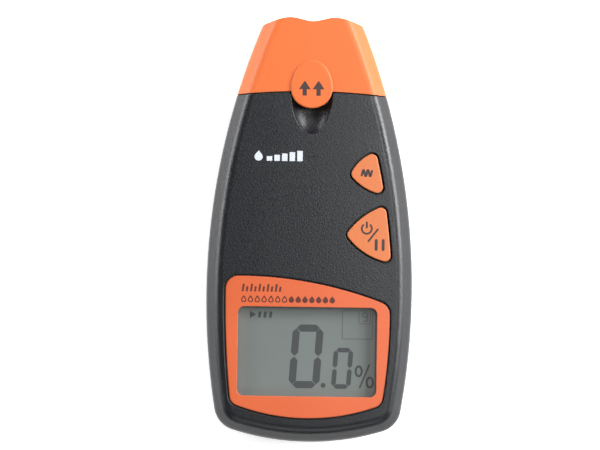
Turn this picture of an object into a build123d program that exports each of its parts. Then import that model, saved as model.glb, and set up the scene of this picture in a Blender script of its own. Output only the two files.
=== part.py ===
# Handheld two-pin moisture meter, in millimetres, lying on its back.
# z = 0 is the rear face, +Z leaves the front face, +Y runs towards the pins, +X is the right-hand side.
from build123d import *
from math import cos, radians, sin
import os

# Case: plan outline
LENGTH = 140.0
HALF_WIDTH = 34.05
WIDEST_Y = -21.0
SIDE_RADIUS = 233.0
TAIL_Y = -LENGTH / 2
NOSE_Y = LENGTH / 2
TAIL_RADIUS = 84.0
TAIL_CORNER_RADIUS = 8.7
FORM_LENGTH = 150.0

# Case: side profile and edges
THICKNESS = 29.0
PARTING_Z = 13.5
CREST_Y = -35.0
LONG_CROWN_RADIUS = 3000.0
CROSS_CROWN_RADIUS = 600.0
DRAFT = 1.5
REAR_RADIUS = 5.0
FACET_DEPTH = 3.5
FACET_WIDTH = 4.3
INNER_FACET_DEPTH = 2.6
INNER_FACET_WIDTH = 3.2
FACET_FRONT_RADIUS = 3.5
FACET_SIDE_RADIUS = 3.0
WALL = 2.2
FAR = 100.0
GROOVE = 0.4

# Cap over the pins
SEAM_Y = 45.35
SEAM_RADIUS = 225.0
SEAM_GAP = 0.35
CAP_WALL = 2.0
CAP_END_WALL = 2.6
CAP_FORM_REAR_Y = 30.0
HUMP_X = 7.2
HUMP_VALLEY = 1.25
HUMP_SHOULDER = 3.5
HUMP_SHOULDER_X = 20.0
HUMP_SHOULDER_SLOPE = 0.2
CAP_CORNER_RADIUS = 3.2
TAB_X = -0.15
TAB_Y = 46.5
TAB_HALF_WIDTH = 6.8
TAB_FRONT_LENGTH = 9.4
TAB_REAR_LENGTH = 6.45
TAB_RISE = 0.55
TAB_UNDERSIDE = 1.9
TAB_GAP = 0.5

# Thumb scoop: part of a spheroid sunk in the front face
SCOOP_Y = 45.0
SCOOP_RADIUS = 7.8
SCOOP_HALF_LENGTH = 14.9
SCOOP_CENTRE_Z = 31.6
SCOOP_WALL = 1.7

# Pins and the block that carries them
PIN_X = 6.5
PIN_Z = PARTING_Z
BLOCK_INSET = 2.35
BLOCK_GROOVE_INSET = 3.4
RIB_INSET = 3.3
BLOCK_REAR_Y = 38.5
BLOCK_FRONT_Y = 52.5
RIB_REAR_Y = 42.1
RIB_THICKNESS = 1.4
RIB_CLEARANCE = 0.2
SOCKET_RADIUS = 2.5
SOCKET_FLANGE_RADIUS = 3.1
SOCKET_FLANGE = 0.8
SOCKET_REAR_Y = 40.0
SOCKET_TAIL_RADIUS = 1.2
SOCKET_TAIL_Y = 36.8
SOCKET_BORE_RADIUS = 1.6
PIN_SHANK_RADIUS = 1.5
PIN_COLLAR_RADIUS = 2.6
PIN_COLLAR = 2.2
PIN_NEEDLE_RADIUS = 0.8
PIN_TIP_Y = 64.5
PIN_TAPER = 4.0

# Battery, its bay and its door
BATTERY_BODY = (26.5, 46.2, 17.5)
BATTERY_RADIUS = 2.0
BATTERY_REAR_Y = -62.9
BATTERY_LOW_Z = 2.5
TERMINAL_X = 6.35
TERMINAL_LENGTH = 2.6
STUD_RADIUS = 2.8
SNAP_RING_RADIUS = 4.2
BAY_HALF_WIDTH = 15.4
BAY_WALL = 1.5
BAY_REAR_Y = -64.0
BAY_FRONT_Y = -7.5
BAY_REAR_WALL = 1.2
BAY_CEILING_Z = 20.2
BAY_TOP_Z = 21.0
DOOR_HALF_WIDTH = 14.2
DOOR_FRONT_Y = -7.8
DOOR_TAIL_Z = 8.0
DOOR_GAP = 0.25
DOOR_THICKNESS = 2.0
RAIL_HALF_WIDTH = 15.1
RAIL_LOW_Z = 1.1
RAIL_THICKNESS = 0.8
GRIP_GROOVES = 6
GRIP_PITCH = 2.4
GRIP_REAR_Y = -18.0
GRIP_WIDTH = 15.0
GRIP_GROOVE = (1.2, 0.6)
BAY_RIBS = (-58.0, -41.0, -24.0)
BAY_RIB_HALF = 0.7
LEAD_NOTCH = ((-5.0, 5.0), (9.0, 13.5))

# Shallow recess for a plate in the rear face
PLATE_CENTRE = (0.0, 13.5)
PLATE_SIZE = (36.0, 24.0)
PLATE_CORNER_RADIUS = 2.0
PLATE_DEPTH = 0.3

# Circuit board and display stack
BOARD_HALF_WIDTH = 25.2
BOARD_REAR_Y = -57.8
BOARD_FRONT_Y = 28.0
BOARD_LOW_Z = 21.4
BOARD_TOP_Z = 23.0
WINDOW_CENTRE = (-0.45, -40.0)
WINDOW = (45.8, 29.4)
WINDOW_RADIUS = 2.2
LENS = (47.8, 31.4)
LENS_LOW_Z = 25.9
LENS_TOP_Z = 26.9
LENS_GAP = 0.1
CELL = (48.5, 32.5)
CELL_LEDGE = 3.5
CELL_MIDDLE_Z = 24.7
CELL_LOW_Z = 23.6
CELL_TOP_Z = 25.8
HOLDER_WALL = 1.3
HOLDER_TOP_Z = 25.2
BEZEL_DROP = 0.3
BEZEL_INSET = 0.6
BEZEL_GAP = 0.55
BEZEL_EDGE_RADIUS = 0.3

# Display surround: corners of the recess it lies in, and a point on the bowed side that ends at each
BEZEL_CORNERS = ((-28.1, -14.8), (-26.1, -57.5), (24.8, -57.6), (27.1, -24.1))
BEZEL_SIDES = ((4.0, -17.25), (-27.8, -37.0), (0.0, -62.5), (26.7, -42.0))
BEZEL_REAR_RADIUS = 4.2
BEZEL_FRONT_RADIUS = 4.8

# Buttons: corners of the rounded triangle each one shows through, and a point on the bowed side that ends at each
MODE_CORNERS = ((12.4, 18.3), (21.6, 26.6), (24.8, 11.4))
MODE_SIDES = ((18.0, 13.4), (15.7, 23.3), (23.4, 18.9))
POWER_CORNERS = ((11.2, -1.3), (25.1, 9.1), (27.3, -11.0))
POWER_SIDES = ((18.1, -7.9), (16.9, 4.9), (26.4, -1.0))
BUTTON_CORNER_RADIUS = 2.4
BUTTON_RISE = 0.45
BUTTON_EDGE_RADIUS = 0.25
BUTTON_INSET = 0.55
BUTTON_GAP = 0.65
FLANGE_WIDTH = 0.9
FLANGE_INSET = 2.55
FLANGE_LOW_Z = 25.2
FLANGE_TOP_Z = 25.9
MODE_SWITCH = (19.3, 18.8)
POWER_SWITCH = (20.9, -1.2)
SWITCH_SIZE = 5.2
SWITCH_TOP_Z = 24.6
PLUNGER_RADIUS = 1.2
PLUNGER_BORE_RADIUS = 1.3

# Screws
HOUSING_SCREWS = ((-20.5, -61.7), (20.5, -61.7), (-20.5, 32.0), (20.5, 32.0))
POST_RADIUS = 3.3
BOSS_RADIUS = 3.0
SCREW_SEAT_Z = 4.0
SCREW_HEAD_RADIUS = 2.3
SCREW_HEAD = 1.6
SCREW_RADIUS = 1.15
SCREW_TIP_Z = 19.0
BOSS_BORE_RADIUS = 1.2
BOSS_DEPTH_Z = 20.0
BOARD_SCREWS = ((-19.5, 22.0), (8.5, 24.0), (-20.3, -11.0), (20.3, -16.5))
BOARD_SCREW_RADIUS = 0.9
BOARD_SCREW_HEAD_RADIUS = 1.8
BOARD_SCREW_HEAD = 1.2
BOARD_SCREW_TIP_Z = 25.0
BOARD_POST_RADIUS = 2.1

# Leads inside the case
LEAD_RADIUS = 0.65
BATTERY_LEAD_X = 3.0
BATTERY_LEAD_TURN_Y = 2.0
PIN_LEAD_TURN_Y = 17.0
LEAD_BEND_RADIUS = 6.0


def case_outline(inset):
    """Plan outline: two long side arcs and a tail arc with rounded corners, left square past the nose."""
    with BuildSketch(mode=Mode.PRIVATE) as outline:
        with Locations((0, TAIL_Y + TAIL_RADIUS)):
            Circle(TAIL_RADIUS - inset)
        with Locations((0, TAIL_Y + FORM_LENGTH / 2 + TAIL_RADIUS / 2)):
            Rectangle(3 * HALF_WIDTH, FORM_LENGTH - TAIL_RADIUS)
        with Locations((0, TAIL_Y + FORM_LENGTH / 2)):
            Rectangle(3 * HALF_WIDTH, FORM_LENGTH, mode=Mode.INTERSECT)
        for side in (-1, 1):
            with Locations((side * (SIDE_RADIUS - HALF_WIDTH), WIDEST_Y)):
                Circle(SIDE_RADIUS - inset, mode=Mode.INTERSECT)
        fillet(outline.vertices().group_by(Axis.Y)[0], TAIL_CORNER_RADIUS - inset)
    return outline.sketch


def crown_sag(y):
    """How far the front face has fallen from its crest, at y, along the middle of the case."""
    return (y - CREST_Y) ** 2 / (2 * LONG_CROWN_RADIUS)


def crown_block(drop):
    """Everything under the doubly crowned front face, when that face is lowered by drop."""
    half_turn = radians(7)
    axis_z = THICKNESS - CROSS_CROWN_RADIUS
    top = CROSS_CROWN_RADIUS - drop
    start_plane = Plane(origin=(0, 0, axis_z), x_dir=(0, 1, 0), z_dir=(cos(half_turn), 0, sin(half_turn)))
    with BuildPart(mode=Mode.PRIVATE) as under:
        with BuildSketch(start_plane):
            with BuildLine():
                crest = ThreePointArc((-FAR, top - crown_sag(-FAR)), (CREST_Y, top), (FAR, top - crown_sag(FAR)))
                Polyline(crest @ 1, (FAR, top - THICKNESS - 10), (-FAR, top - THICKNESS - 10), crest @ 0)
            make_face()
        revolve(axis=Axis((0, 0, axis_z), (0, 1, 0)), revolution_arc=14)
    return under.part


def level_edges(builder, low, high):
    """The near-level edges of the side and tail walls whose middles lie between two heights."""
    edges = builder.edges().filter_by(lambda edge: low < edge.center().Z < high)
    edges = edges.filter_by(lambda edge: abs((edge % 0.5).Z) < 0.3 and edge.length > 3)
    return edges.filter_by(lambda edge: edge.center().Y < TAIL_Y + FORM_LENGTH - 1)


def case_form(inset):
    """The whole case as one block, shrunk by inset; the block at inset 0 has its facet edges softened."""
    with BuildPart(mode=Mode.PRIVATE) as form:
        with BuildSketch(Plane.XY.offset(PARTING_Z)):
            add(case_outline(inset))
        extrude(amount=THICKNESS - PARTING_Z + 2, taper=DRAFT)
        add(crown_block(inset), mode=Mode.INTERSECT)
        rim = level_edges(form, 22, THICKNESS)
        if inset == 0:
            chamfer(rim, FACET_DEPTH, FACET_WIDTH)
            fillet(level_edges(form, 27.2, THICKNESS), FACET_FRONT_RADIUS)
            fillet(level_edges(form, 20, 26.4), FACET_SIDE_RADIUS)
        else:
            chamfer(rim, INNER_FACET_DEPTH, INNER_FACET_WIDTH)
        with BuildSketch(Plane.XY.offset(PARTING_Z)):
            add(case_outline(inset))
        extrude(amount=-(PARTING_Z - inset), taper=DRAFT)
        fillet(level_edges(form, inset - 0.1, inset + 0.1), REAR_RADIUS - inset)
    return form.part


def seam_block(gap):
    """Everything on the tail side of the gently bowed seam between case and cap, held back by gap."""
    with BuildPart(mode=Mode.PRIVATE) as tail_side:
        with BuildSketch(Plane.XY.offset(-1)):
            with Locations((0, SEAM_Y - SEAM_RADIUS)):
                Circle(SEAM_RADIUS - gap)
        extrude(amount=THICKNESS + 2)
    return tail_side.part


def upright(sketch, low_z, high_z):
    """A plain prism on a flat outline, from one height to another."""
    with BuildPart(mode=Mode.PRIVATE) as prism:
        with BuildSketch(Plane.XY.offset(low_z)):
            add(sketch)
        extrude(amount=high_z - low_z)
    return prism.part


def block(x_range, y_range, z_range):
    """A plain box between three pairs of limits."""
    with BuildSketch(mode=Mode.PRIVATE) as plan:
        with Locations(((x_range[0] + x_range[1]) / 2, (y_range[0] + y_range[1]) / 2)):
            Rectangle(x_range[1] - x_range[0], y_range[1] - y_range[0])
    return upright(plan.sketch, z_range[0], z_range[1])


def round_rectangle(centre, size, radius):
    """A rectangle with rounded corners."""
    with BuildSketch(mode=Mode.PRIVATE) as plan:
        with Locations(centre):
            RectangleRounded(size[0], size[1], radius)
    return plan.sketch


def tab_outline(margin):
    """The egg of the thumb tab: two half ellipses of one width, grown by margin."""
    with BuildSketch(mode=Mode.PRIVATE) as egg:
        with BuildLine():
            half_width = TAB_HALF_WIDTH + margin
            EllipticalCenterArc((TAB_X, TAB_Y), half_width, TAB_FRONT_LENGTH + margin, start_angle=0, arc_size=180)
            EllipticalCenterArc((TAB_X, TAB_Y), half_width, TAB_REAR_LENGTH + margin, start_angle=180, arc_size=180)
        make_face()
    return egg.sketch


def bowed_outline(corners, sides, margin):
    """The space inside one disc for each bowed side, each disc grown by margin, with sharp corners."""
    arcs = [ThreePointArc(corners[at - 1], sides[at], corners[at]) for at in range(len(corners))]
    with BuildSketch(mode=Mode.PRIVATE) as plan:
        for arc in arcs:
            with Locations(arc.arc_center):
                Circle(arc.radius + margin, mode=Mode.INTERSECT if plan.faces() else Mode.ADD)
    return plan.sketch


def bezel_outline(margin):
    """The display surround: four bowed sides with rounded corners, grown by margin."""
    with BuildSketch(mode=Mode.PRIVATE) as plan:
        add(bowed_outline(BEZEL_CORNERS, BEZEL_SIDES, margin))
        fillet(plan.vertices().sort_by(Axis.Y)[:2], BEZEL_REAR_RADIUS + margin)
        fillet(plan.vertices().sort_by(Axis.Y)[-2:], BEZEL_FRONT_RADIUS + margin)
    return plan.sketch


def button_outline(corners, sides, margin):
    """A triangle with bowed sides and rounded corners, grown by margin."""
    with BuildSketch(mode=Mode.PRIVATE) as plan:
        add(bowed_outline(corners, sides, margin))
        fillet(plan.vertices(), BUTTON_CORNER_RADIUS + margin)
    return plan.sketch


def scoop_form(margin):
    """The spheroid that makes the thumb scoop, grown by margin."""
    radius = SCOOP_RADIUS + margin
    half_length = SCOOP_HALF_LENGTH + margin
    with BuildPart(mode=Mode.PRIVATE) as scoop:
        with BuildSketch(Plane.YZ):
            with Locations((SCOOP_Y, SCOOP_CENTRE_Z)):
                Ellipse(half_length, radius)
                with Locations((0, radius)):
                    Rectangle(2 * half_length, 2 * radius, mode=Mode.SUBTRACT)
        revolve(axis=Axis((0, SCOOP_Y, SCOOP_CENTRE_Z), (0, 1, 0)), revolution_arc=360)
    return scoop.part


def rounds(places, radius, low_z, high_z):
    """One upright cylinder at each place."""
    with BuildPart(mode=Mode.PRIVATE) as cylinders:
        with BuildSketch(Plane.XY.offset(low_z)):
            with Locations(*places):
                Circle(radius)
        extrude(amount=high_z - low_z)
    return cylinders.part


def lead(points):
    """A round insulated wire along straight runs joined by tangent arcs."""
    with BuildPart(mode=Mode.PRIVATE) as wire:
        with BuildLine():
            route = FilletPolyline(*points, radius=LEAD_BEND_RADIUS)
        with BuildSketch(Plane(origin=route @ 0, z_dir=route % 0)):
            Circle(LEAD_RADIUS)
        sweep(path=route)
    return wire.part


outer_form = case_form(0)
trim_form = case_form(CAP_WALL)
cavity_form = case_form(WALL)

with BuildPart() as ring_rib:
    add(trim_form)
    add(case_form(RIB_INSET), mode=Mode.SUBTRACT)
    add(block((-FAR, FAR), (RIB_REAR_Y, RIB_REAR_Y + RIB_THICKNESS), (-1, FAR)), mode=Mode.INTERSECT)

lens_outline = round_rectangle(WINDOW_CENTRE, LENS, WINDOW_RADIUS + 1)
lens_cut_size = (LENS[0] + 2 * LENS_GAP, LENS[1] + 2 * LENS_GAP)
lens_cut_outline = round_rectangle(WINDOW_CENTRE, lens_cut_size, WINDOW_RADIUS + 1)

with BuildSketch() as groove_plan:
    add(case_outline(-1))
    add(case_outline(GROOVE), mode=Mode.SUBTRACT)
parting_groove = upright(groove_plan.sketch, PARTING_Z - GROOVE / 2, PARTING_Z + GROOVE / 2)

with BuildPart() as display_frame:
    add(upright(bezel_outline(1.5), LENS_LOW_Z, LENS_TOP_Z))
    add(trim_form, mode=Mode.INTERSECT)

with BuildPart() as scoop_lining:
    add(scoop_form(SCOOP_WALL))
    add(trim_form, mode=Mode.INTERSECT)
    add(seam_block(0), mode=Mode.INTERSECT)

with BuildPart() as front_bosses:
    add(rounds(HOUSING_SCREWS, BOSS_RADIUS, PARTING_Z, FAR))
    add(rounds(BOARD_SCREWS, BOARD_POST_RADIUS, BOARD_TOP_Z, FAR))
    add(trim_form, mode=Mode.INTERSECT)

tab_floor_z = THICKNESS - crown_sag(TAB_Y) - TAB_UNDERSIDE - 0.7

with BuildPart() as front_shell:
    add(outer_form)
    add(cavity_form, mode=Mode.SUBTRACT)
    add(display_frame.part)
    add(scoop_lining.part)
    add(ring_rib.part)
    add(front_bosses.part)
    add(seam_block(0), mode=Mode.INTERSECT)
    add(block((-FAR, FAR), (-FAR, FAR), (PARTING_Z, FAR)), mode=Mode.INTERSECT)
    add(rounds(HOUSING_SCREWS, BOSS_BORE_RADIUS, PARTING_Z - 1, BOSS_DEPTH_Z), mode=Mode.SUBTRACT)
    add(rounds(BOARD_SCREWS, BOARD_SCREW_RADIUS + 0.05, BOARD_TOP_Z - 1, BOARD_SCREW_TIP_Z + 0.3), mode=Mode.SUBTRACT)
    add(upright(bezel_outline(BEZEL_GAP - BEZEL_INSET), LENS_TOP_Z, FAR), mode=Mode.SUBTRACT)
    add(upright(lens_cut_outline, LENS_LOW_Z - 1, FAR), mode=Mode.SUBTRACT)
    add(scoop_form(0), mode=Mode.SUBTRACT)
    add(upright(tab_outline(TAB_GAP), tab_floor_z, FAR), mode=Mode.SUBTRACT)
    for corners, sides in ((MODE_CORNERS, MODE_SIDES), (POWER_CORNERS, POWER_SIDES)):
        add(upright(button_outline(corners, sides, BUTTON_GAP - BUTTON_INSET), BOARD_TOP_Z, FAR), mode=Mode.SUBTRACT)
    add(parting_groove, mode=Mode.SUBTRACT)

with BuildPart() as rear_shell:
    add(outer_form)
    add(cavity_form, mode=Mode.SUBTRACT)
    add(ring_rib.part)
    add(rounds(HOUSING_SCREWS, POST_RADIUS, WALL - 0.5, PARTING_Z))
    add(block((-FAR, FAR), (-FAR, FAR), (-1, PARTING_Z)), mode=Mode.INTERSECT)
    add(seam_block(0), mode=Mode.INTERSECT)
    bay_outer = BAY_HALF_WIDTH + BAY_WALL
    bay_y = (BAY_REAR_Y - BAY_REAR_WALL, BAY_FRONT_Y + BAY_WALL)
    add(block((-bay_outer, bay_outer), bay_y, (WALL - 0.5, BAY_TOP_Z)))
    bay_room_y = (BAY_REAR_Y, BAY_FRONT_Y)
    add(block((-BAY_HALF_WIDTH, BAY_HALF_WIDTH), bay_room_y, (WALL, BAY_CEILING_Z)), mode=Mode.SUBTRACT)
    rib_low_z = WALL + 0.5
    for side in (-1, 1):
        for rib_y in BAY_RIBS:
            rib_x = sorted((side * (BATTERY_BODY[0] / 2 + 0.3), side * (BAY_HALF_WIDTH + 0.5)))
            rib_y_range = (rib_y - BAY_RIB_HALF, rib_y + BAY_RIB_HALF)
            add(block(rib_x, rib_y_range, (rib_low_z, BAY_CEILING_Z + 0.3)))
    opening_x = DOOR_HALF_WIDTH + DOOR_GAP
    add(block((-opening_x, opening_x), (-FAR, BAY_FRONT_Y), (-1, DOOR_TAIL_Z + DOOR_GAP)), mode=Mode.SUBTRACT)
    pocket_z = (RAIL_LOW_Z - 0.15, WALL)
    add(block((-BAY_HALF_WIDTH, BAY_HALF_WIDTH), (-FAR, BAY_FRONT_Y - 3), pocket_z), mode=Mode.SUBTRACT)
    add(block(LEAD_NOTCH[0], (BAY_FRONT_Y - 1, BAY_FRONT_Y + 3), LEAD_NOTCH[1]), mode=Mode.SUBTRACT)
    add(rounds(HOUSING_SCREWS, SCREW_HEAD_RADIUS + 0.25, -1, SCREW_SEAT_Z), mode=Mode.SUBTRACT)
    add(rounds(HOUSING_SCREWS, SCREW_RADIUS + 0.15, -1, PARTING_Z + 1), mode=Mode.SUBTRACT)
    add(upright(round_rectangle(PLATE_CENTRE, PLATE_SIZE, PLATE_CORNER_RADIUS), -1, PLATE_DEPTH), mode=Mode.SUBTRACT)
    add(parting_groove, mode=Mode.SUBTRACT)

with BuildPart() as battery_door:
    add(outer_form)
    add(cavity_form, mode=Mode.SUBTRACT)
    door_x = (-DOOR_HALF_WIDTH, DOOR_HALF_WIDTH)
    add(block(door_x, (-FAR, DOOR_FRONT_Y), (-1, DOOR_TAIL_Z)), mode=Mode.INTERSECT)
    add(block(door_x, (-60, DOOR_FRONT_Y), (DOOR_THICKNESS, WALL + 1)), mode=Mode.SUBTRACT)
    rail_z = (RAIL_LOW_Z, RAIL_LOW_Z + RAIL_THICKNESS)
    add(block((-RAIL_HALF_WIDTH, RAIL_HALF_WIDTH), (-58.0, -14.0), rail_z))
    for groove in range(GRIP_GROOVES):
        groove_y = GRIP_REAR_Y - groove * GRIP_PITCH
        groove_width = GRIP_WIDTH - abs(groove - (GRIP_GROOVES - 1) / 2)
        groove_x = (-groove_width / 2, groove_width / 2)
        groove_y_range = (groove_y - GRIP_GROOVE[0] / 2, groove_y + GRIP_GROOVE[0] / 2)
        add(block(groove_x, groove_y_range, (-1, GRIP_GROOVE[1])), mode=Mode.SUBTRACT)

with BuildPart() as block_groove:
    add(trim_form)
    add(case_form(BLOCK_GROOVE_INSET), mode=Mode.SUBTRACT)
    groove_y = (RIB_REAR_Y - RIB_CLEARANCE, RIB_REAR_Y + RIB_THICKNESS + RIB_CLEARANCE)
    add(block((-FAR, FAR), groove_y, (-1, FAR)), mode=Mode.INTERSECT)

with BuildPart() as nose_block:
    add(case_form(BLOCK_INSET))
    add(block((-FAR, FAR), (BLOCK_REAR_Y, BLOCK_FRONT_Y), (-1, FAR)), mode=Mode.INTERSECT)
    add(block_groove.part, mode=Mode.SUBTRACT)
    scoop_low_z = SCOOP_CENTRE_Z - SCOOP_RADIUS - SCOOP_WALL
    add(block((-11.0, 11.0), (BLOCK_REAR_Y - 1, SEAM_Y + 0.3), (scoop_low_z - 0.3, FAR)), mode=Mode.SUBTRACT)
    with BuildSketch(Plane.XZ.offset(-BLOCK_FRONT_Y)):
        with Locations((-PIN_X, PIN_Z), (PIN_X, PIN_Z)):
            Circle(SOCKET_RADIUS + 0.1)
    extrude(amount=BLOCK_FRONT_Y - BLOCK_REAR_Y, mode=Mode.SUBTRACT)

with BuildPart() as tab_plate:
    add(upright(tab_outline(0), 20, FAR))
    add(crown_block(-TAB_RISE), mode=Mode.INTERSECT)
    fillet(tab_plate.edges().group_by(Axis.Z)[-1], TAB_RISE - 0.1)
    add(crown_block(TAB_UNDERSIDE), mode=Mode.SUBTRACT)

with BuildSketch() as cap_plan:
    add(case_outline(-0.05))
    with BuildLine():
        shoulder_y = NOSE_Y - HUMP_SHOULDER
        level = (1, 0)
        crest_line = Spline((-HUMP_SHOULDER_X, shoulder_y), (-HUMP_X, NOSE_Y), (0, NOSE_Y - HUMP_VALLEY),
                            (HUMP_X, NOSE_Y), (HUMP_SHOULDER_X, shoulder_y),
                            tangents=[(1, HUMP_SHOULDER_SLOPE), level, level, level, (1, -HUMP_SHOULDER_SLOPE)])
        Polyline(crest_line @ 1, (HALF_WIDTH, shoulder_y), (HALF_WIDTH, CAP_FORM_REAR_Y),
                 (-HALF_WIDTH, CAP_FORM_REAR_Y), (-HALF_WIDTH, shoulder_y), crest_line @ 0)
    make_face(mode=Mode.INTERSECT)
    hump_corners = cap_plan.vertices().filter_by(lambda corner: corner.Y > shoulder_y and abs(corner.X) > HUMP_X)
    fillet(hump_corners, CAP_CORNER_RADIUS)

with BuildPart() as cap_room:
    add(trim_form)
    add(block((-FAR, FAR), (CAP_FORM_REAR_Y, NOSE_Y - CAP_END_WALL), (-1, FAR)), mode=Mode.INTERSECT)

with BuildPart() as pin_cap:
    add(outer_form)
    add(upright(cap_plan.sketch, -1, THICKNESS + 1), mode=Mode.INTERSECT)
    add(seam_block(-SEAM_GAP), mode=Mode.SUBTRACT)
    add(cap_room.part, mode=Mode.SUBTRACT)
    add(tab_plate.part)

with BuildPart() as lcd_bezel:
    add(upright(bezel_outline(-BEZEL_INSET), LENS_TOP_Z, FAR))
    add(crown_block(BEZEL_DROP), mode=Mode.INTERSECT)
    fillet(lcd_bezel.edges().group_by(Axis.Z)[-1], BEZEL_EDGE_RADIUS)
    add(upright(round_rectangle(WINDOW_CENTRE, WINDOW, WINDOW_RADIUS), LENS_TOP_Z - 1, FAR), mode=Mode.SUBTRACT)

with BuildPart() as lcd_lens:
    add(upright(lens_outline, LENS_LOW_Z, LENS_TOP_Z))

cell_rear_y = WINDOW_CENTRE[1] - CELL[1] / 2
cell_front_y = WINDOW_CENTRE[1] + CELL[1] / 2
cell_x = (WINDOW_CENTRE[0] - CELL[0] / 2, WINDOW_CENTRE[0] + CELL[0] / 2)
rear_glass_y = (cell_rear_y + CELL_LEDGE, cell_front_y)

with BuildPart() as lcd_cell:
    add(block(cell_x, (cell_rear_y, cell_front_y), (CELL_MIDDLE_Z, CELL_TOP_Z)))
    add(block(cell_x, rear_glass_y, (CELL_LOW_Z, CELL_MIDDLE_Z)))

with BuildPart() as lcd_reflector:
    add(block(cell_x, rear_glass_y, (CELL_LOW_Z - 0.3, CELL_LOW_Z)))

with BuildPart() as contact_strip:
    strip_x = (cell_x[0] + 1.2, cell_x[1] - 1.2)
    add(block(strip_x, (cell_rear_y + 0.5, cell_rear_y + 2.7), (BOARD_TOP_Z, CELL_MIDDLE_Z)))

with BuildPart() as lcd_holder:
    holder_room = (CELL[0] + 0.2, CELL[1] + 0.2)
    holder_size = (holder_room[0] + 2 * HOLDER_WALL, holder_room[1] + 2 * HOLDER_WALL)
    add(upright(round_rectangle(WINDOW_CENTRE, holder_size, 1.5), BOARD_TOP_Z, HOLDER_TOP_Z))
    add(upright(round_rectangle(WINDOW_CENTRE, holder_room, 0.3), BOARD_TOP_Z - 1, FAR), mode=Mode.SUBTRACT)

with BuildPart() as main_board:
    board_centre = (0, (BOARD_REAR_Y + BOARD_FRONT_Y) / 2)
    board_size = (2 * BOARD_HALF_WIDTH, BOARD_FRONT_Y - BOARD_REAR_Y)
    add(upright(round_rectangle(board_centre, board_size, 2), BOARD_LOW_Z, BOARD_TOP_Z))
    add(rounds(BOARD_SCREWS, BOARD_SCREW_RADIUS + 0.3, BOARD_LOW_Z - 1, FAR), mode=Mode.SUBTRACT)


def switch_body(centre):
    """Low tact switch on the board, with the round well that its plunger works in."""
    half = SWITCH_SIZE / 2
    x, y = centre
    with BuildPart() as body:
        add(block((x - half, x + half), (y - half, y + half), (BOARD_TOP_Z, SWITCH_TOP_Z)))
        fillet(body.edges().filter_by(Axis.Z), 0.5)
        add(rounds([centre], PLUNGER_BORE_RADIUS, BOARD_TOP_Z + 0.3, FAR), mode=Mode.SUBTRACT)
    return body


flange_form = case_form(FLANGE_INSET)


def button(corners, sides):
    """Moulded key: the face that fills the hole, and the hidden flange that keeps it in the case."""
    with BuildPart() as flange:
        add(upright(button_outline(corners, sides, FLANGE_WIDTH), FLANGE_LOW_Z, FLANGE_TOP_Z))
        add(flange_form, mode=Mode.INTERSECT)
    with BuildPart() as key:
        add(upright(button_outline(corners, sides, -BUTTON_INSET), FLANGE_LOW_Z, FAR))
        add(crown_block(-BUTTON_RISE), mode=Mode.INTERSECT)
        fillet(key.edges().group_by(Axis.Z)[-1], BUTTON_EDGE_RADIUS)
        add(flange.part)
    return key


def plunger(centre):
    """Switch plunger, from inside the well of the switch up to the underside of the key."""
    with BuildPart() as stem:
        add(rounds([centre], PLUNGER_RADIUS, SWITCH_TOP_Z - 0.6, FLANGE_LOW_Z))
    return stem


mode_switch = switch_body(MODE_SWITCH)
power_switch = switch_body(POWER_SWITCH)
mode_plunger = plunger(MODE_SWITCH)
power_plunger = plunger(POWER_SWITCH)
mode_button = button(MODE_CORNERS, MODE_SIDES)
power_button = button(POWER_CORNERS, POWER_SIDES)

with BuildPart() as controller_chip:
    add(block((-20.0, -8.0), (1.0, 13.0), (BOARD_LOW_Z - 1.5, BOARD_LOW_Z - 0.1)))
    chamfer(controller_chip.edges().filter_by(Axis.Z), 0.6)
    with BuildSketch(Plane.XY.offset(BOARD_LOW_Z - 0.4)):
        for turn in range(4):
            with Locations(Location((-14.0, 7.0), turn * 90)):
                with Locations((6.6, 0)):
                    with GridLocations(0, 1.0, 1, 10):
                        Rectangle(1.6, 0.45)
    extrude(amount=0.4)

# Small parts under the board: amplifier, regulator, crystal can, two electrolytics and chip resistors
SMALL_PARTS = (
    ((8.0, 7.0), (5.0, 4.0), 1.6),
    ((16.0, 9.0), (3.0, 1.6), 1.2),
    ((-14.0, 19.0), (7.0, 3.0), 2.4),
    ((15.0, 15.0), (2.0, 1.2), 0.6),
    ((15.0, 18.0), (2.0, 1.2), 0.6),
    ((19.0, 3.0), (2.0, 1.2), 0.6),
    ((19.0, 0.0), (2.0, 1.2), 0.6),
    ((-3.5, 12.0), (2.0, 1.2), 0.6),
)
ELECTROLYTICS = ((20.0, 12.0), (13.0, 0.0))

with BuildPart() as board_components:
    for centre, size, height in SMALL_PARTS:
        x_range = (centre[0] - size[0] / 2, centre[0] + size[0] / 2)
        y_range = (centre[1] - size[1] / 2, centre[1] + size[1] / 2)
        add(block(x_range, y_range, (BOARD_LOW_Z - height, BOARD_LOW_Z)))
    add(rounds(ELECTROLYTICS, 2.5, BOARD_LOW_Z - 7.0, BOARD_LOW_Z))


def pin_socket(x):
    """Threaded brass insert in the pin block, flanged in front, with a solder tail behind."""
    with BuildPart() as socket:
        with BuildSketch(Plane.XY.offset(PIN_Z)):
            with BuildLine():
                Polyline((x, SOCKET_TAIL_Y), (x + SOCKET_TAIL_RADIUS, SOCKET_TAIL_Y),
                         (x + SOCKET_TAIL_RADIUS, SOCKET_REAR_Y), (x + SOCKET_RADIUS, SOCKET_REAR_Y),
                         (x + SOCKET_RADIUS, BLOCK_FRONT_Y), (x + SOCKET_FLANGE_RADIUS, BLOCK_FRONT_Y),
                         (x + SOCKET_FLANGE_RADIUS, BLOCK_FRONT_Y + SOCKET_FLANGE),
                         (x + SOCKET_BORE_RADIUS, BLOCK_FRONT_Y + SOCKET_FLANGE),
                         (x + SOCKET_BORE_RADIUS, SOCKET_REAR_Y + 3), (x, SOCKET_REAR_Y + 3),
                         (x, SOCKET_TAIL_Y))
            make_face()
        revolve(axis=Axis((x, 0, PIN_Z), (0, 1, 0)))
    return socket


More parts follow.
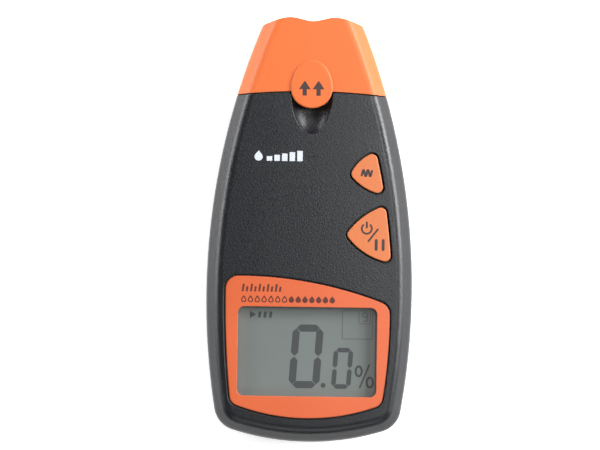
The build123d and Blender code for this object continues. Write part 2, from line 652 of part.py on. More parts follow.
def measuring_pin(x):
    """Steel needle with its threaded shank and the hexagon it is screwed in by."""
    collar_y = BLOCK_FRONT_Y + SOCKET_FLANGE
    needle_y = collar_y + PIN_COLLAR
    with BuildPart() as pin:
        with BuildSketch(Plane.XY.offset(PIN_Z)):
            with BuildLine():
                Polyline((x, SOCKET_REAR_Y + 3.5), (x + PIN_SHANK_RADIUS, SOCKET_REAR_Y + 3.5),
                         (x + PIN_SHANK_RADIUS, needle_y), (x + PIN_NEEDLE_RADIUS, needle_y + 0.6),
                         (x + PIN_NEEDLE_RADIUS, PIN_TIP_Y - PIN_TAPER), (x + 0.08, PIN_TIP_Y),
                         (x, PIN_TIP_Y), (x, SOCKET_REAR_Y + 3.5))
            make_face()
        revolve(axis=Axis((x, 0, PIN_Z), (0, 1, 0)))
        with BuildSketch(Plane.XZ.offset(-collar_y)):
            with Locations((x, PIN_Z)):
                RegularPolygon(PIN_COLLAR_RADIUS, 6)
        extrude(amount=-PIN_COLLAR)
    return pin


def lead_part(points):
    """One lead on its own, ready to be written."""
    with BuildPart() as wire:
        add(lead(points))
    return wire


pin_socket_left = pin_socket(-PIN_X)
pin_socket_right = pin_socket(PIN_X)
measuring_pin_left = measuring_pin(-PIN_X)
measuring_pin_right = measuring_pin(PIN_X)


def pin_lead(x):
    """From the solder tail of a socket back under the board and up to it."""
    return lead_part([(x, SOCKET_TAIL_Y, PIN_Z), (x, PIN_LEAD_TURN_Y, PIN_Z), (x, PIN_LEAD_TURN_Y, BOARD_LOW_Z)])


pin_lead_left = pin_lead(-PIN_X)
pin_lead_right = pin_lead(PIN_X)

battery_front_y = BATTERY_REAR_Y + BATTERY_BODY[1]
battery_middle_z = BATTERY_LOW_Z + BATTERY_BODY[2] / 2
snap_rear_y = battery_front_y + TERMINAL_LENGTH
snap_front_y = snap_rear_y + 2.4

with BuildPart() as battery:
    half = BATTERY_BODY[0] / 2
    add(block((-half, half), (BATTERY_REAR_Y, battery_front_y), (BATTERY_LOW_Z, BATTERY_LOW_Z + BATTERY_BODY[2])))
    fillet(battery.edges().filter_by(Axis.Y), BATTERY_RADIUS)
    with BuildSketch(Plane.XZ.offset(-battery_front_y)):
        with Locations((TERMINAL_X, battery_middle_z)):
            Circle(STUD_RADIUS)
        with Locations((-TERMINAL_X, battery_middle_z)):
            RegularPolygon(SNAP_RING_RADIUS, 6)
            Circle(STUD_RADIUS, mode=Mode.SUBTRACT)
    extrude(amount=-TERMINAL_LENGTH)

with BuildPart() as battery_snap:
    add(block((-12.8, 12.8), (snap_rear_y, snap_front_y), (battery_middle_z - 6, battery_middle_z + 6)))
    fillet(battery_snap.edges().filter_by(Axis.Y), 5.5)


def battery_lead(x):
    """From the snap connector through the wall of the bay and up to the board."""
    return lead_part([(x, snap_front_y, battery_middle_z), (x, BATTERY_LEAD_TURN_Y, battery_middle_z),
                      (x, BATTERY_LEAD_TURN_Y, BOARD_LOW_Z)])


battery_lead_red = battery_lead(BATTERY_LEAD_X)
battery_lead_black = battery_lead(-BATTERY_LEAD_X)

with BuildPart() as battery_pad:
    add(block((-11.0, 11.0), (BAY_REAR_Y + 0.05, BATTERY_REAR_Y), (9.0, 19.0)))

with BuildPart() as housing_screws:
    add(rounds(HOUSING_SCREWS, SCREW_HEAD_RADIUS, SCREW_SEAT_Z - SCREW_HEAD, SCREW_SEAT_Z))
    chamfer(housing_screws.edges().group_by(Axis.Z)[0], 0.4)
    add(rounds(HOUSING_SCREWS, SCREW_RADIUS, SCREW_SEAT_Z, SCREW_TIP_Z))
    with BuildSketch(Plane.XY.offset(SCREW_SEAT_Z - SCREW_HEAD)):
        with Locations(*HOUSING_SCREWS):
            Rectangle(2.6, 0.6)
            Rectangle(0.6, 2.6)
    extrude(amount=0.9, mode=Mode.SUBTRACT)

with BuildPart() as board_screws:
    add(rounds(BOARD_SCREWS, BOARD_SCREW_HEAD_RADIUS, BOARD_LOW_Z - BOARD_SCREW_HEAD, BOARD_LOW_Z))
    add(rounds(BOARD_SCREWS, BOARD_SCREW_RADIUS, BOARD_LOW_Z, BOARD_SCREW_TIP_Z))

pieces = {
    "front_shell": front_shell,
    "rear_shell": rear_shell,
    "battery_door": battery_door,
    "nose_block": nose_block,
    "pin_cap": pin_cap,
    "lcd_bezel": lcd_bezel,
    "lcd_lens": lcd_lens,
    "lcd_cell": lcd_cell,
    "lcd_reflector": lcd_reflector,
    "lcd_holder": lcd_holder,
    "contact_strip": contact_strip,
    "main_board": main_board,
    "mode_switch": mode_switch,
    "power_switch": power_switch,
    "mode_plunger": mode_plunger,
    "power_plunger": power_plunger,
    "mode_button": mode_button,
    "power_button": power_button,
    "controller_chip": controller_chip,
    "board_components": board_components,
    "pin_socket_left": pin_socket_left,
    "pin_socket_right": pin_socket_right,
    "measuring_pin_left": measuring_pin_left,
    "measuring_pin_right": measuring_pin_right,
    "pin_lead_left": pin_lead_left,
    "pin_lead_right": pin_lead_right,
    "battery": battery,
    "battery_snap": battery_snap,
    "battery_lead_red": battery_lead_red,
    "battery_lead_black": battery_lead_black,
    "battery_pad": battery_pad,
    "housing_screws": housing_screws,
    "board_screws": board_screws,
}

os.makedirs("parts", exist_ok=True)
for node, piece in pieces.items():
    piece.part.label = node
    export_step(piece.part, f"parts/{node}.step")
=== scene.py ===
"""Handheld two-pin moisture meter: finishes, printed marks, display image, bench light and camera.

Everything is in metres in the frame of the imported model: x runs across the case, y towards the pins
and z out of the front face. The sizes below are written in millimetres and scaled once, in `Surface.piece`.
"""

import logging
import math
from dataclasses import dataclass, field
from enum import Enum
from typing import Any, Callable, Sequence

import bpy
import numpy as np
from mathutils import Matrix


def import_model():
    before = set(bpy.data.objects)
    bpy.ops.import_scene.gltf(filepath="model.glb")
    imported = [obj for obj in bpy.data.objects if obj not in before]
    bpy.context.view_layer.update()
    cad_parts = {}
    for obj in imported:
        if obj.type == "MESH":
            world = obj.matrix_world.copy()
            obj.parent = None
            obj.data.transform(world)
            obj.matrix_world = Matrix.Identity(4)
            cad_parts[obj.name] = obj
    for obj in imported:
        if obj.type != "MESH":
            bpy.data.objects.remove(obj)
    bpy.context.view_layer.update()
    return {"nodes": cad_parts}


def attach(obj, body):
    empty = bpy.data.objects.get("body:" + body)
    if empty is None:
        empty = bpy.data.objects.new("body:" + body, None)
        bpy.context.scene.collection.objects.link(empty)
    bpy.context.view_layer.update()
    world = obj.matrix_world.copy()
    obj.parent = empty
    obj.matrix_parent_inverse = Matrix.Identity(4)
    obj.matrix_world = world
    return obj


LOG = logging.getLogger("moisture_meter")
MM = 0.001
Array = np.ndarray
Colour = tuple[float, float, float]
Height = Callable[[Array, Array], Array]
Socket = bpy.types.NodeSocket
Pair = tuple[float, float]


class Body(Enum):
    """The bodies of the meter that a piece can move with."""

    HOUSING = "housing"
    CAP = "cap"
    DOOR = "door"
    MODE_KEY = "mode_key"
    POWER_KEY = "power_key"


class End(Enum):
    """How a printed stroke ends."""

    SQUARE = "square"
    ROUND = "round"
    POINT = "point"


def linear(red: int, green: int, blue: int) -> Colour:
    """Scene-linear colour of a display colour given as 0 to 255."""
    shares = np.array([red, green, blue]) / 255.0
    values = np.where(shares <= 0.04045, shares / 12.92, ((shares + 0.055) / 1.055) ** 2.4)
    return tuple(float(value) for value in values)


# ---------------------------------------------------------------------------------------------- surfaces


@dataclass(frozen=True)
class Crown:
    """Height of the doubly crowned front face, or of a face that is parallel to it.

    The face is part of a barrel: its radius across the case is 600, less the fall of the crest line, which is
    a parabola along y. drop is how far the wanted face lies under the front face.
    """

    drop: float = 0.0
    thickness: float = 29.0
    cross_radius: float = 600.0
    long_radius: float = 3000.0
    crest_y: float = -35.0

    def __call__(self, x: Array, y: Array) -> Array:
        """Height at each x and y: the circle of the cross section, lowered to its centre."""
        radius = self.cross_radius - self.drop - (y - self.crest_y) ** 2 / (2 * self.long_radius)
        return np.sqrt(radius**2 - x**2) + self.thickness - self.cross_radius


@dataclass(frozen=True)
class Level:
    """A flat face at one height."""

    z: float

    def __call__(self, x: Array, y: Array) -> Array:
        """The same height everywhere."""
        return np.full(np.shape(x), self.z)


@dataclass
class Surface:
    """Closed surfaces gathered into one mesh, all worked out as whole arrays."""

    points: list[Array] = field(default_factory=list)
    quads: list[Array] = field(default_factory=list)
    count: int = 0

    def grid(self, points: Array, wrap_u: bool, wrap_v: bool, flip: bool = False) -> None:
        """Adds a grid of points and the quads between neighbours.

        Args:
            points: the grid, rows along u and columns along v, with x, y and z.
            wrap_u: whether the last row joins the first.
            wrap_v: whether the last column joins the first.
            flip: whether the faces point the other way.
        """
        rows, columns = points.shape[:2]
        index = np.arange(rows * columns).reshape(rows, columns)
        index = np.concatenate([index, index[:1]]) if wrap_u else index
        index = np.concatenate([index, index[:, :1]], axis=1) if wrap_v else index
        quads = np.stack([index[:-1, :-1], index[1:, :-1], index[1:, 1:], index[:-1, 1:]], axis=-1)
        quads = quads.reshape(-1, 4)
        self.quads.append((quads[:, ::-1] if flip else quads) + self.count)
        self.points.append(points.reshape(-1, 3))
        self.count += rows * columns

    def slab(self, plan: Array, top: Height, bottom: Height, ring: bool = False) -> None:
        """Adds a thin closed plate over a grid of plan points.

        The section round the plate is a loop of columns: the upper face from one edge to the other, then the
        lower face back again, so the loop closes on itself and the two ends are closed by their own quads.

        Args:
            plan: the grid of x and y, rows along the plate and columns across it.
            top: height of the upper face.
            bottom: height of the lower face.
            ring: whether the plate's last row joins its first.
        """
        x, y = plan[..., 0], plan[..., 1]
        upper = np.stack([x, y, top(x, y)], axis=-1)
        lower = np.stack([x, y, bottom(x, y)], axis=-1)[:, ::-1]
        start = self.count
        self.grid(np.concatenate([upper, lower], axis=1), wrap_u=ring, wrap_v=True)
        if ring:
            return
        rows, columns = x.shape
        index = np.arange(rows * columns * 2).reshape(rows, 2 * columns) + start
        across = np.arange(columns - 1)
        for row, flip in ((0, True), (rows - 1, False)):
            loop = index[row]
            back = loop[::-1]
            ends = np.stack([loop[across], loop[across + 1], back[across + 1], back[across]], axis=-1)
            self.quads.append(ends if flip else ends[:, ::-1])

    def lathe(self, profile: Sequence[Pair], centre: Sequence[float], sides: int = 24) -> None:
        """Adds a body turned about an upright axis.

        A point of the profile at radius r and height h goes round the axis as (r cos t, r sin t, h). The
        profile starts and ends near the axis, and each end is closed by a small face of its own.

        Args:
            profile: radius and height, from the lower end to the upper.
            centre: x, y and z of the axis and of height zero.
            sides: how many steps a turn is made in.
        """
        radius, height = np.array(profile).T
        turn = np.linspace(0, 2 * np.pi, sides, endpoint=False)
        x = centre[0] + radius[:, None] * np.cos(turn)
        y = centre[1] + radius[:, None] * np.sin(turn)
        z = np.broadcast_to(centre[2] + height[:, None], x.shape)
        start = self.count
        self.grid(np.stack([x, y, z], axis=-1), wrap_u=False, wrap_v=True, flip=True)
        index = np.arange(len(radius) * sides).reshape(-1, sides) + start
        half = np.arange(sides // 2 - 1)
        for loop, flip in ((index[0], False), (index[-1], True)):
            back = loop[::-1]
            cap = np.stack([loop[half], loop[half + 1], back[half + 1], back[half]], axis=-1)
            self.quads.append(cap[:, ::-1] if flip else cap)

    def piece(
        self, name: str, body: Body, slot: str, finish: bpy.types.Material, smooth: bool = False
    ) -> bpy.types.Object:
        """Makes the gathered surfaces one piece of the meter.

        Args:
            name: the piece's name.
            body: the body it moves with.
            slot: a material slot name; not used.
            finish: its material.
            smooth: whether it is shaded as a rounded form, and not as flat faces.

        Returns:
            The new object, at the origin with its place in its mesh.
        """
        points = np.concatenate(self.points) * MM
        faces = np.concatenate(self.quads)
        mesh = bpy.data.meshes.new(name)
        mesh.vertices.add(len(points))
        mesh.vertices.foreach_set("co", points.astype(np.float32).ravel())
        mesh.loops.add(faces.size)
        mesh.loops.foreach_set("vertex_index", faces.astype(np.int32).ravel())
        mesh.polygons.add(len(faces))
        mesh.polygons.foreach_set("loop_start", np.arange(0, faces.size, 4, dtype=np.int32))
        mesh.update(calc_edges=True)
        mesh.validate()
        if not smooth:
            mesh.shade_flat()
        mesh.materials.append(finish)
        made = bpy.data.objects.new(name, mesh)
        bpy.context.scene.collection.objects.link(made)
        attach(made, body.value)
        LOG.info("%s: %d faces on %s", name, len(faces), body.value)
        return made


# ------------------------------------------------------------------------------------------------ strokes


@dataclass(frozen=True)
class Stroke:
    """A line of print: a centre line, with half its width at each point of it.

    line is an array of x and y. half_width is one number, or one for each point.
    """

    line: Array
    half_width: float | Array
    end: End = End.SQUARE
    ring: bool = False

    def plan(self, columns: int = 4) -> Array:
        """Grid of the stroke's plan points.

        Each row is the centre line's point plus its unit normal times a share of the half width, from -1 to
        1. A round end follows a quarter circle, and a pointed one a straight taper, over one half width.

        Args:
            columns: points across the stroke.

        Returns:
            The grid, rows along the line.
        """
        line, width = self.line, np.broadcast_to(self.half_width, len(self.line))
        if self.end is not End.SQUARE:
            line, width = self._ended()
        if self.ring:
            along = np.roll(line, -1, axis=0) - np.roll(line, 1, axis=0)
        else:
            along = np.gradient(line, axis=0)
        along /= np.linalg.norm(along, axis=1, keepdims=True)
        normal = np.stack([-along[:, 1], along[:, 0]], axis=-1)
        across = np.linspace(1, -1, columns)
        return line[:, None, :] + normal[:, None, :] * (width[:, None] * across)[..., None]

    def _ended(self) -> tuple[Array, Array]:
        """Centre line with rows close together at both ends, and half widths that round or point the ends.

        The line is read at distances along it. Near an end they follow one minus a cosine, so that they crowd
        where a round end changes fastest.

        Returns:
            The line and the half widths.
        """
        travelled = np.concatenate([[0.0], np.cumsum(np.linalg.norm(np.diff(self.line, axis=0), axis=1))])
        total = travelled[-1]
        reach = min(float(np.max(self.half_width)), 0.49 * total)
        near = reach * (1 - np.cos(np.linspace(0, np.pi / 2, 6)))
        inner = travelled[(travelled > 1.02 * reach) & (travelled < total - 1.02 * reach)]
        marks = np.concatenate([near, inner, total - near[::-1]])
        line = np.stack([np.interp(marks, travelled, self.line[:, axis]) for axis in (0, 1)], axis=-1)
        share = np.clip(np.minimum(marks, total - marks) / reach, 0, 1)
        profile = np.sqrt(1 - (1 - share) ** 2) if self.end is End.ROUND else share
        return line, float(np.max(self.half_width)) * np.maximum(profile, 0.04)


def straight(start: Sequence[float], stop: Sequence[float], width: float, end: End = End.SQUARE) -> Stroke:
    """A straight stroke of one width.

    Args:
        start: x and y of one end.
        stop: x and y of the other end.
        width: full width.
        end: how it ends.

    Returns:
        The stroke.
    """
    share = np.linspace(0, 1, 9)[:, None]
    return Stroke(np.array(start) * (1 - share) + np.array(stop) * share, width / 2, end)


def taper(start: Sequence[float], stop: Sequence[float], widths: Sequence[float]) -> Stroke:
    """A straight stroke whose width passes through the given widths at equal steps.

    Args:
        start: x and y of one end.
        stop: x and y of the other end.
        widths: full widths from start to stop.

    Returns:
        The stroke.
    """
    share = np.linspace(0, 1, 4 * len(widths) + 1)
    line = np.array(start) * (1 - share[:, None]) + np.array(stop) * share[:, None]
    return Stroke(line, np.interp(share, np.linspace(0, 1, len(widths)), widths) / 2)


def arc(
    centre: Sequence[float], radii: Sequence[float], turn: Sequence[float], width: float, steps: int = 28
) -> Stroke:
    """A stroke along part of an ellipse: (a cos t, b sin t) between two angles, or a whole ring.

    Args:
        centre: x and y of the centre.
        radii: the ellipse's half axes a and b, to the middle of the stroke.
        turn: first and last angle in degrees. A full turn makes a closed ring.
        width: full width.
        steps: points along it.

    Returns:
        The stroke.
    """
    whole = abs(turn[1] - turn[0]) >= 360
    angle = np.radians(np.linspace(turn[0], turn[1], steps, endpoint=not whole))
    line = np.stack([centre[0] + radii[0] * np.cos(angle), centre[1] + radii[1] * np.sin(angle)], axis=-1)
    return Stroke(line, width / 2, End.SQUARE if whole else End.ROUND, whole)


def wave(start: Sequence[float], length: float, height: float, periods: float, width: float) -> Stroke:
    """A sine wave of print: y rises and falls as -cos(t) while x moves on evenly.

    Args:
        start: x and y of the left end, at the middle height.
        length: how far it runs along x.
        height: full height between troughs and crests.
        periods: how many full waves.
        width: full width of the stroke.

    Returns:
        The stroke.
    """
    share = np.linspace(0, 1, int(16 * periods) + 1)
    y = start[1] - height / 2 * np.cos(2 * np.pi * periods * share)
    return Stroke(np.stack([start[0] + length * share, y], axis=-1), width / 2, End.ROUND)


def droplet(foot: Sequence[float], size: Sequence[float]) -> Stroke:
    """A water drop, upright: a circle below that narrows to a tip.

    The half width at height h from the foot is that of a circle up to its widest part, and from there it
    falls off as a cosine to the tip.

    Args:
        foot: x and y of its lowest point.
        size: width and height.

    Returns:
        The stroke.
    """
    share = (1 - np.cos(np.linspace(0, np.pi, 17))) / 2
    radius = size[0] / 2
    widest = radius / size[1]
    below = np.sqrt(np.clip(1 - ((widest - share) / widest) ** 2, 0, 1))
    above = np.cos(np.clip((share - widest) / (1 - widest), 0, 1) * np.pi / 2) ** 1.25
    half = radius * np.maximum(np.where(share < widest, below, above), 0.05)
    line = np.stack([np.full_like(share, foot[0]), foot[1] + share * size[1]], axis=-1)
    return Stroke(line, half)


def hollow_droplet(foot: Sequence[float], size: Sequence[float], width: float) -> Stroke:
    """Outline of a water drop: x follows sin t times a power of sin t/2, and y follows cos t from its tip.

    Args:
        foot: x and y of its lowest point.
        size: width and height over the stroke.
        width: full width of the stroke.

    Returns:
        The closed stroke.
    """
    turn = np.linspace(0, 2 * np.pi, 24, endpoint=False) + np.pi / 24
    half_height = (size[1] - width) / 2
    x = np.sin(turn) * np.sin(turn / 2) ** 1.5
    x *= (size[0] - width) / 2 / np.max(x)
    y = foot[1] + width / 2 + half_height * (1 + np.cos(turn))
    return Stroke(np.stack([foot[0] + x, y], axis=-1), width / 2, End.SQUARE, True)


def slanted(stroke: Stroke, foot_y: float, degrees: float) -> Stroke:
    """The stroke sheared to the right by an angle, about one height.

    Args:
        stroke: the upright stroke.
        foot_y: the height that stays where it is.
        degrees: the slant.

    Returns:
        The slanted stroke.
    """
    moved = stroke.line.copy()
    moved[:, 0] += np.tan(np.radians(degrees)) * (moved[:, 1] - foot_y)
    return Stroke(moved, stroke.half_width, stroke.end, stroke.ring)


@dataclass(frozen=True)
class Print:
    """A set of strokes laid on a face as a thin film of ink."""

    face: Height
    film: float = 0.02
    sunk: float = 0.06
    step: float = 0.0015

    def lay(self, strokes: Sequence[Stroke]) -> Surface:
        """Lays the strokes, each a hair above the one before, so that crossings stay clean.

        Args:
            strokes: the strokes, in order.

        Returns:
            The closed film.
        """
        made = Surface()
        for number, stroke in enumerate(strokes):
            lift = self.film + self.step * number

            def top(x: Array, y: Array, lift: float = lift) -> Array:
                """Upper side of this stroke."""
                return self.face(x, y) + lift

            def bottom(x: Array, y: Array) -> Array:
                """Lower side, inside the face."""
                return self.face(x, y) - self.sunk

            made.slab(stroke.plan(), top, bottom, stroke.ring)
        return made


# ----------------------------------------------------------------------------------------------- finishes


class Graph:
    """A material's shader nodes, with short calls to add and join them."""

    def __init__(self, name: str) -> None:
        """Starts an empty material that reads object coordinates."""
        self.material = bpy.data.materials.new(name)
        self.material.use_nodes = True
        self.tree = self.material.node_tree
        self.tree.nodes.clear()
        self.output = self.tree.nodes.new("ShaderNodeOutputMaterial")
        self.place = self.tree.nodes.new("ShaderNodeTexCoord").outputs["Object"]

    def add(self, kind: str, inputs: dict[str | int, Any] | None = None, **settings: Any) -> bpy.types.Node:
        """Adds a node.

        Args:
            kind: the node's type, without its ShaderNode prefix.
            inputs: socket name or number to a value, or to the output that feeds it.
            settings: the node's own properties.

        Returns:
            The node.
        """
        node = self.tree.nodes.new("ShaderNode" + kind)
        for key, value in settings.items():
            setattr(node, key, value)
        for key, value in (inputs or {}).items():
            socket = node.inputs[key]
            if isinstance(value, Socket):
                self.tree.links.new(value, socket)
            elif socket.type == "RGBA" and len(value) == 3:
                socket.default_value = (*value, 1.0)
            else:
                socket.default_value = value
        return node

    def noise(self, scale: float, detail: float = 2.0, rough: float = 0.5, vector: Any = None) -> Socket:
        """Cloudy noise between 0 and 1, with scale in features a metre."""
        inputs = {"Vector": vector or self.place, "Scale": scale, "Detail": detail, "Roughness": rough}
        return self.add("TexNoise", inputs).outputs["Fac"]

    def ranged(self, value: Any, low: float, high: float, new_low: float, new_high: float) -> Socket:
        """The value carried from one range to another, and held inside it."""
        inputs = {"Value": value, "From Min": low, "From Max": high, "To Min": new_low, "To Max": new_high}
        return self.add("MapRange", inputs).outputs["Result"]

    def mixed(self, share: Any, first: Any, second: Any, blend: str = "MIX") -> Socket:
        """Two colours mixed by a share."""
        node = self.add("Mix", data_type="RGBA", blend_type=blend)
        for socket, value in zip((node.inputs[0], node.inputs[6], node.inputs[7]), (share, first, second)):
            if isinstance(value, Socket):
                self.tree.links.new(value, socket)
            else:
                socket.default_value = (*value, 1.0) if isinstance(value, tuple) else value
        return node.outputs[2]

    def maths(self, operation: str, first: Any, second: Any = 0.0) -> Socket:
        """One sum on two numbers."""
        return self.add("Math", {0: first, 1: second}, operation=operation).outputs[0]

    def axis(self, name: str) -> Socket:
        """One object coordinate, by its letter."""
        return self.add("SeparateXYZ", {0: self.place}).outputs[name]

    def edges(self, radius: float, gain: float) -> tuple[Socket, Socket]:
        """Softened normal, and how much each place is an edge.

        The softened normal is the mean over a small ball, and an edge is where it leaves the true normal.

        Args:
            radius: size of the ball in metres.
            gain: how fast the mask rises.

        Returns:
            The normal and the mask.
        """
        soft = self.add("Bevel", {"Radius": radius}, samples=6).outputs[0]
        true = self.add("NewGeometry").outputs["Normal"]
        dot = self.add("VectorMath", {0: soft, 1: true}, operation="DOT_PRODUCT").outputs["Value"]
        return soft, self.ranged(self.maths("SUBTRACT", 1.0, dot), 0.0, 1.0 / gain, 0.0, 1.0)

    def bumped(self, height: Any, depth: float, strength: float = 1.0, normal: Any = None) -> Socket:
        """Normal of a face whose height is given, with depth in metres."""
        inputs = {"Height": height, "Distance": depth, "Strength": strength}
        if normal is not None:
            inputs["Normal"] = normal
        return self.add("Bump", inputs).outputs["Normal"]

    def finish(self, shader: bpy.types.Node) -> bpy.types.Material:
        """Joins the shader to the output and hands the material over."""
        self.tree.links.new(shader.outputs[0], self.output.inputs["Surface"])
        return self.material


@dataclass(frozen=True)
class MouldedPlastic:
    """Injection-moulded plastic: eroded grain, slow tone drift, rubbed edges, an uneven sheen, and painted
    shade on the sides under the front face where a gap shade is given.

    grain and drift are features a metre. spread is how far the grain moves the colour, and depth is how deep
    the grain is, in metres.
    """

    name: str
    colour: Colour
    edge_colour: Colour
    roughness: float = 0.45
    grain: float = 2600.0
    depth: float = 0.00002
    spread: float = 0.12
    drift: float = 70.0
    edge_radius: float = 0.00035
    edge_share: float = 0.35
    specular: float = 0.5
    gap_shade: Colour | None = None
    gap_shade_drop: float = 0.0004

    def make(self) -> bpy.types.Material:
        """Builds the material. Painted shade: the gap shade colour is painted on all that lies more than its
        drop under the front face, standing in for the shade in the gap round a key.
        """
        graph = Graph(self.name)
        fine = graph.noise(self.grain, 3.0, 0.6)
        slow = graph.noise(self.drift, 2.0, 0.5)
        soft, edge = graph.edges(self.edge_radius, 3.0)
        dark = tuple(value * (1 - self.spread) for value in self.colour)
        light = tuple(min(1.0, value * (1 + self.spread)) for value in self.colour)
        colour = graph.mixed(graph.ranged(fine, 0.3, 0.7, 0.0, 1.0), dark, light)
        tone = graph.mixed(graph.ranged(slow, 0.3, 0.7, 0.0, 1.0), (0.95, 0.95, 0.95), (1.0, 1.0, 1.0))
        colour = graph.mixed(1.0, colour, tone, "MULTIPLY")
        rubbed = graph.ranged(slow, 0.35, 0.65, self.edge_share / 2, self.edge_share)
        worn = graph.maths("MULTIPLY", edge, rubbed)
        colour = graph.mixed(worn, colour, self.edge_colour)
        # Painted shade: sides more than the drop under the front face are darkened, standing in for shade in
        # the gap round a key.
        if self.gap_shade is not None:
            gap_shade_mask = graph.ranged(self._depth(graph), self.gap_shade_drop, self.gap_shade_drop + 0.00005, 0.0, 1.0)
            colour = graph.mixed(gap_shade_mask, colour, self.gap_shade)
        both = graph.maths("ADD", fine, slow)
        sheen = graph.ranged(both, 0.6, 1.4, self.roughness - 0.07, self.roughness + 0.07)
        shader = graph.add(
            "BsdfPrincipled",
            {
                "Base Color": colour,
                "Roughness": sheen,
                "Specular IOR Level": self.specular,
                "Normal": graph.bumped(fine, self.depth, 0.8, soft),
            },
        )
        return graph.finish(shader)


    def _depth(self, graph: Graph) -> Socket:
        """Depth of a point under the front face, which falls by x and y squared over its diameters."""
        crown = Crown()
        x_squared = graph.maths("POWER", graph.axis("X"), 2.0)
        fall_x = graph.maths("DIVIDE", x_squared, 2 * crown.cross_radius * MM)
        from_crest = graph.maths("SUBTRACT", graph.axis("Y"), crown.crest_y * MM)
        fall_y = graph.maths("DIVIDE", graph.maths("POWER", from_crest, 2.0), 2 * crown.long_radius * MM)
        height = graph.maths("SUBTRACT", crown.thickness * MM, graph.maths("ADD", fall_x, fall_y))
        return graph.maths("SUBTRACT", height, graph.axis("Z"))


@dataclass(frozen=True)
class Ink:
    """Pad-printed ink: an even film that is a little thin in places."""

    name: str
    colour: Colour
    thin_colour: Colour
    roughness: float = 0.55
    patches: float = 1800.0

    def make(self) -> bpy.types.Material:
        """Builds the material."""
        graph = Graph(self.name)
        cloud = graph.noise(self.patches, 3.0, 0.6)
        colour = graph.mixed(graph.ranged(cloud, 0.45, 0.85, 0.0, 0.5), self.colour, self.thin_colour)
        shader = graph.add(
            "BsdfPrincipled",
            {
                "Base Color": colour,
                "Roughness": graph.ranged(cloud, 0.3, 0.7, self.roughness - 0.08, self.roughness + 0.08),
                "Normal": graph.bumped(cloud, 0.000008, 0.6),
            },
        )
        return graph.finish(shader)


@dataclass(frozen=True)
class Metal:
    """Machined or plated metal with fine turning marks and stains."""

    name: str
    colour: Colour
    stain: Colour
    roughness: float = 0.28
    marks: tuple[float, float, float] = (3000.0, 9000.0, 3000.0)
    stain_scale: float = 400.0
    edge_radius: float = 0.00015

    def make(self) -> bpy.types.Material:
        """Builds the material."""
        graph = Graph(self.name)
        stretched = graph.add("Mapping", {"Vector": graph.place, "Scale": self.marks}).outputs[0]
        lines = graph.noise(1.0, 2.0, 0.5, stretched)
        cloud = graph.noise(self.stain_scale, 3.0, 0.6)
        soft, edge = graph.edges(self.edge_radius, 3.0)
        streaks = graph.maths("ADD", lines, cloud)
        colour = graph.mixed(graph.ranged(cloud, 0.4, 0.8, 0.0, 0.7), self.colour, self.stain)
        bright = tuple(min(1.0, value * 1.25) for value in self.colour)
        colour = graph.mixed(graph.maths("MULTIPLY", edge, 0.5), colour, bright)
        shader = graph.add(
            "BsdfPrincipled",
            {
                "Base Color": colour,
                "Metallic": 1.0,
                "Roughness": graph.ranged(streaks, 0.6, 1.4, self.roughness - 0.1, self.roughness + 0.12),
                "Normal": graph.bumped(lines, 0.000006, 0.5, soft),
            },
        )
        return graph.finish(shader)


@dataclass(frozen=True)
class ClearWindow:
    """Clear hard-coated window: it passes the light straight on and mirrors a little, more at a slant."""

    name: str = "clear_window"
    tint: Colour = (0.95, 0.965, 0.955)
    roughness: float = 0.06
    index: float = 1.46
    smears: float = 90.0

    def make(self) -> bpy.types.Material:
        """Builds the material. Only the outer side of a face mirrors, so that the way out stays clear."""
        graph = Graph(self.name)
        smear = graph.noise(self.smears, 3.0, 0.6)
        sheen = graph.ranged(smear, 0.3, 0.7, self.roughness / 2, self.roughness)
        gloss = graph.add("BsdfGlossy", {"Color": (1.0, 1.0, 1.0), "Roughness": sheen})
        clear = graph.add("BsdfTransparent", {"Color": self.tint})
        outward = graph.maths("SUBTRACT", 1.0, graph.add("NewGeometry").outputs["Backfacing"])
        mirror = graph.maths("MULTIPLY", graph.add("Fresnel", {"IOR": self.index}).outputs[0], outward)
        both = graph.add("MixShader", {0: mirror, 1: clear.outputs[0], 2: gloss.outputs[0]})
        return graph.finish(both)


@dataclass(frozen=True)
class DisplayGlass:
    """Liquid crystal glass: grey-green polariser, a seal along the rim and faint lead-outs at the ledge."""

    name: str = "display_glass"
    colour: Colour = linear(127, 131, 131)
    deep: Colour = linear(122, 127, 127)
    seal: Colour = linear(84, 88, 86)
    centre: Pair = (-0.00045, -0.04)
    half_size: Pair = (0.02425, 0.01625)
    seal_width: float = 0.0011
    ledge_y: float = -0.0546
    cloud_scale: float = 55.0
    film_scale: float = 5200.0
    leads_turn: float = 7000.0

    def make(self) -> bpy.types.Material:
        """Builds the material."""
        graph = Graph(self.name)
        x, y = graph.axis("X"), graph.axis("Y")
        cloud = graph.noise(self.cloud_scale, 2.0, 0.5)
        film = graph.noise(self.film_scale, 2.0, 0.6)
        colour = graph.mixed(graph.ranged(cloud, 0.3, 0.7, 0.0, 1.0), self.deep, self.colour)
        from_x = graph.maths("ABSOLUTE", graph.maths("SUBTRACT", x, self.centre[0]))
        from_y = graph.maths("ABSOLUTE", graph.maths("SUBTRACT", y, self.centre[1]))
        past_x = graph.maths("GREATER_THAN", from_x, self.half_size[0] - self.seal_width)
        past_y = graph.maths("GREATER_THAN", from_y, self.half_size[1] - self.seal_width)
        rim = graph.maths("MAXIMUM", past_x, past_y)
        colour = graph.mixed(graph.maths("MULTIPLY", rim, 0.8), colour, self.seal)
        ripple = graph.maths("SINE", graph.maths("MULTIPLY", x, self.leads_turn))
        comb = graph.maths("GREATER_THAN", ripple, 0.3)
        ledge = graph.maths("MULTIPLY", comb, graph.maths("LESS_THAN", y, self.ledge_y))
        colour = graph.mixed(graph.maths("MULTIPLY", ledge, 0.25), colour, self.seal)
        shader = graph.add(
            "BsdfPrincipled",
            {
                "Base Color": colour,
                "Roughness": graph.ranged(film, 0.3, 0.7, 0.42, 0.58),
                "Normal": graph.bumped(film, 0.000003, 0.4),
            },
        )
        return graph.finish(shader)


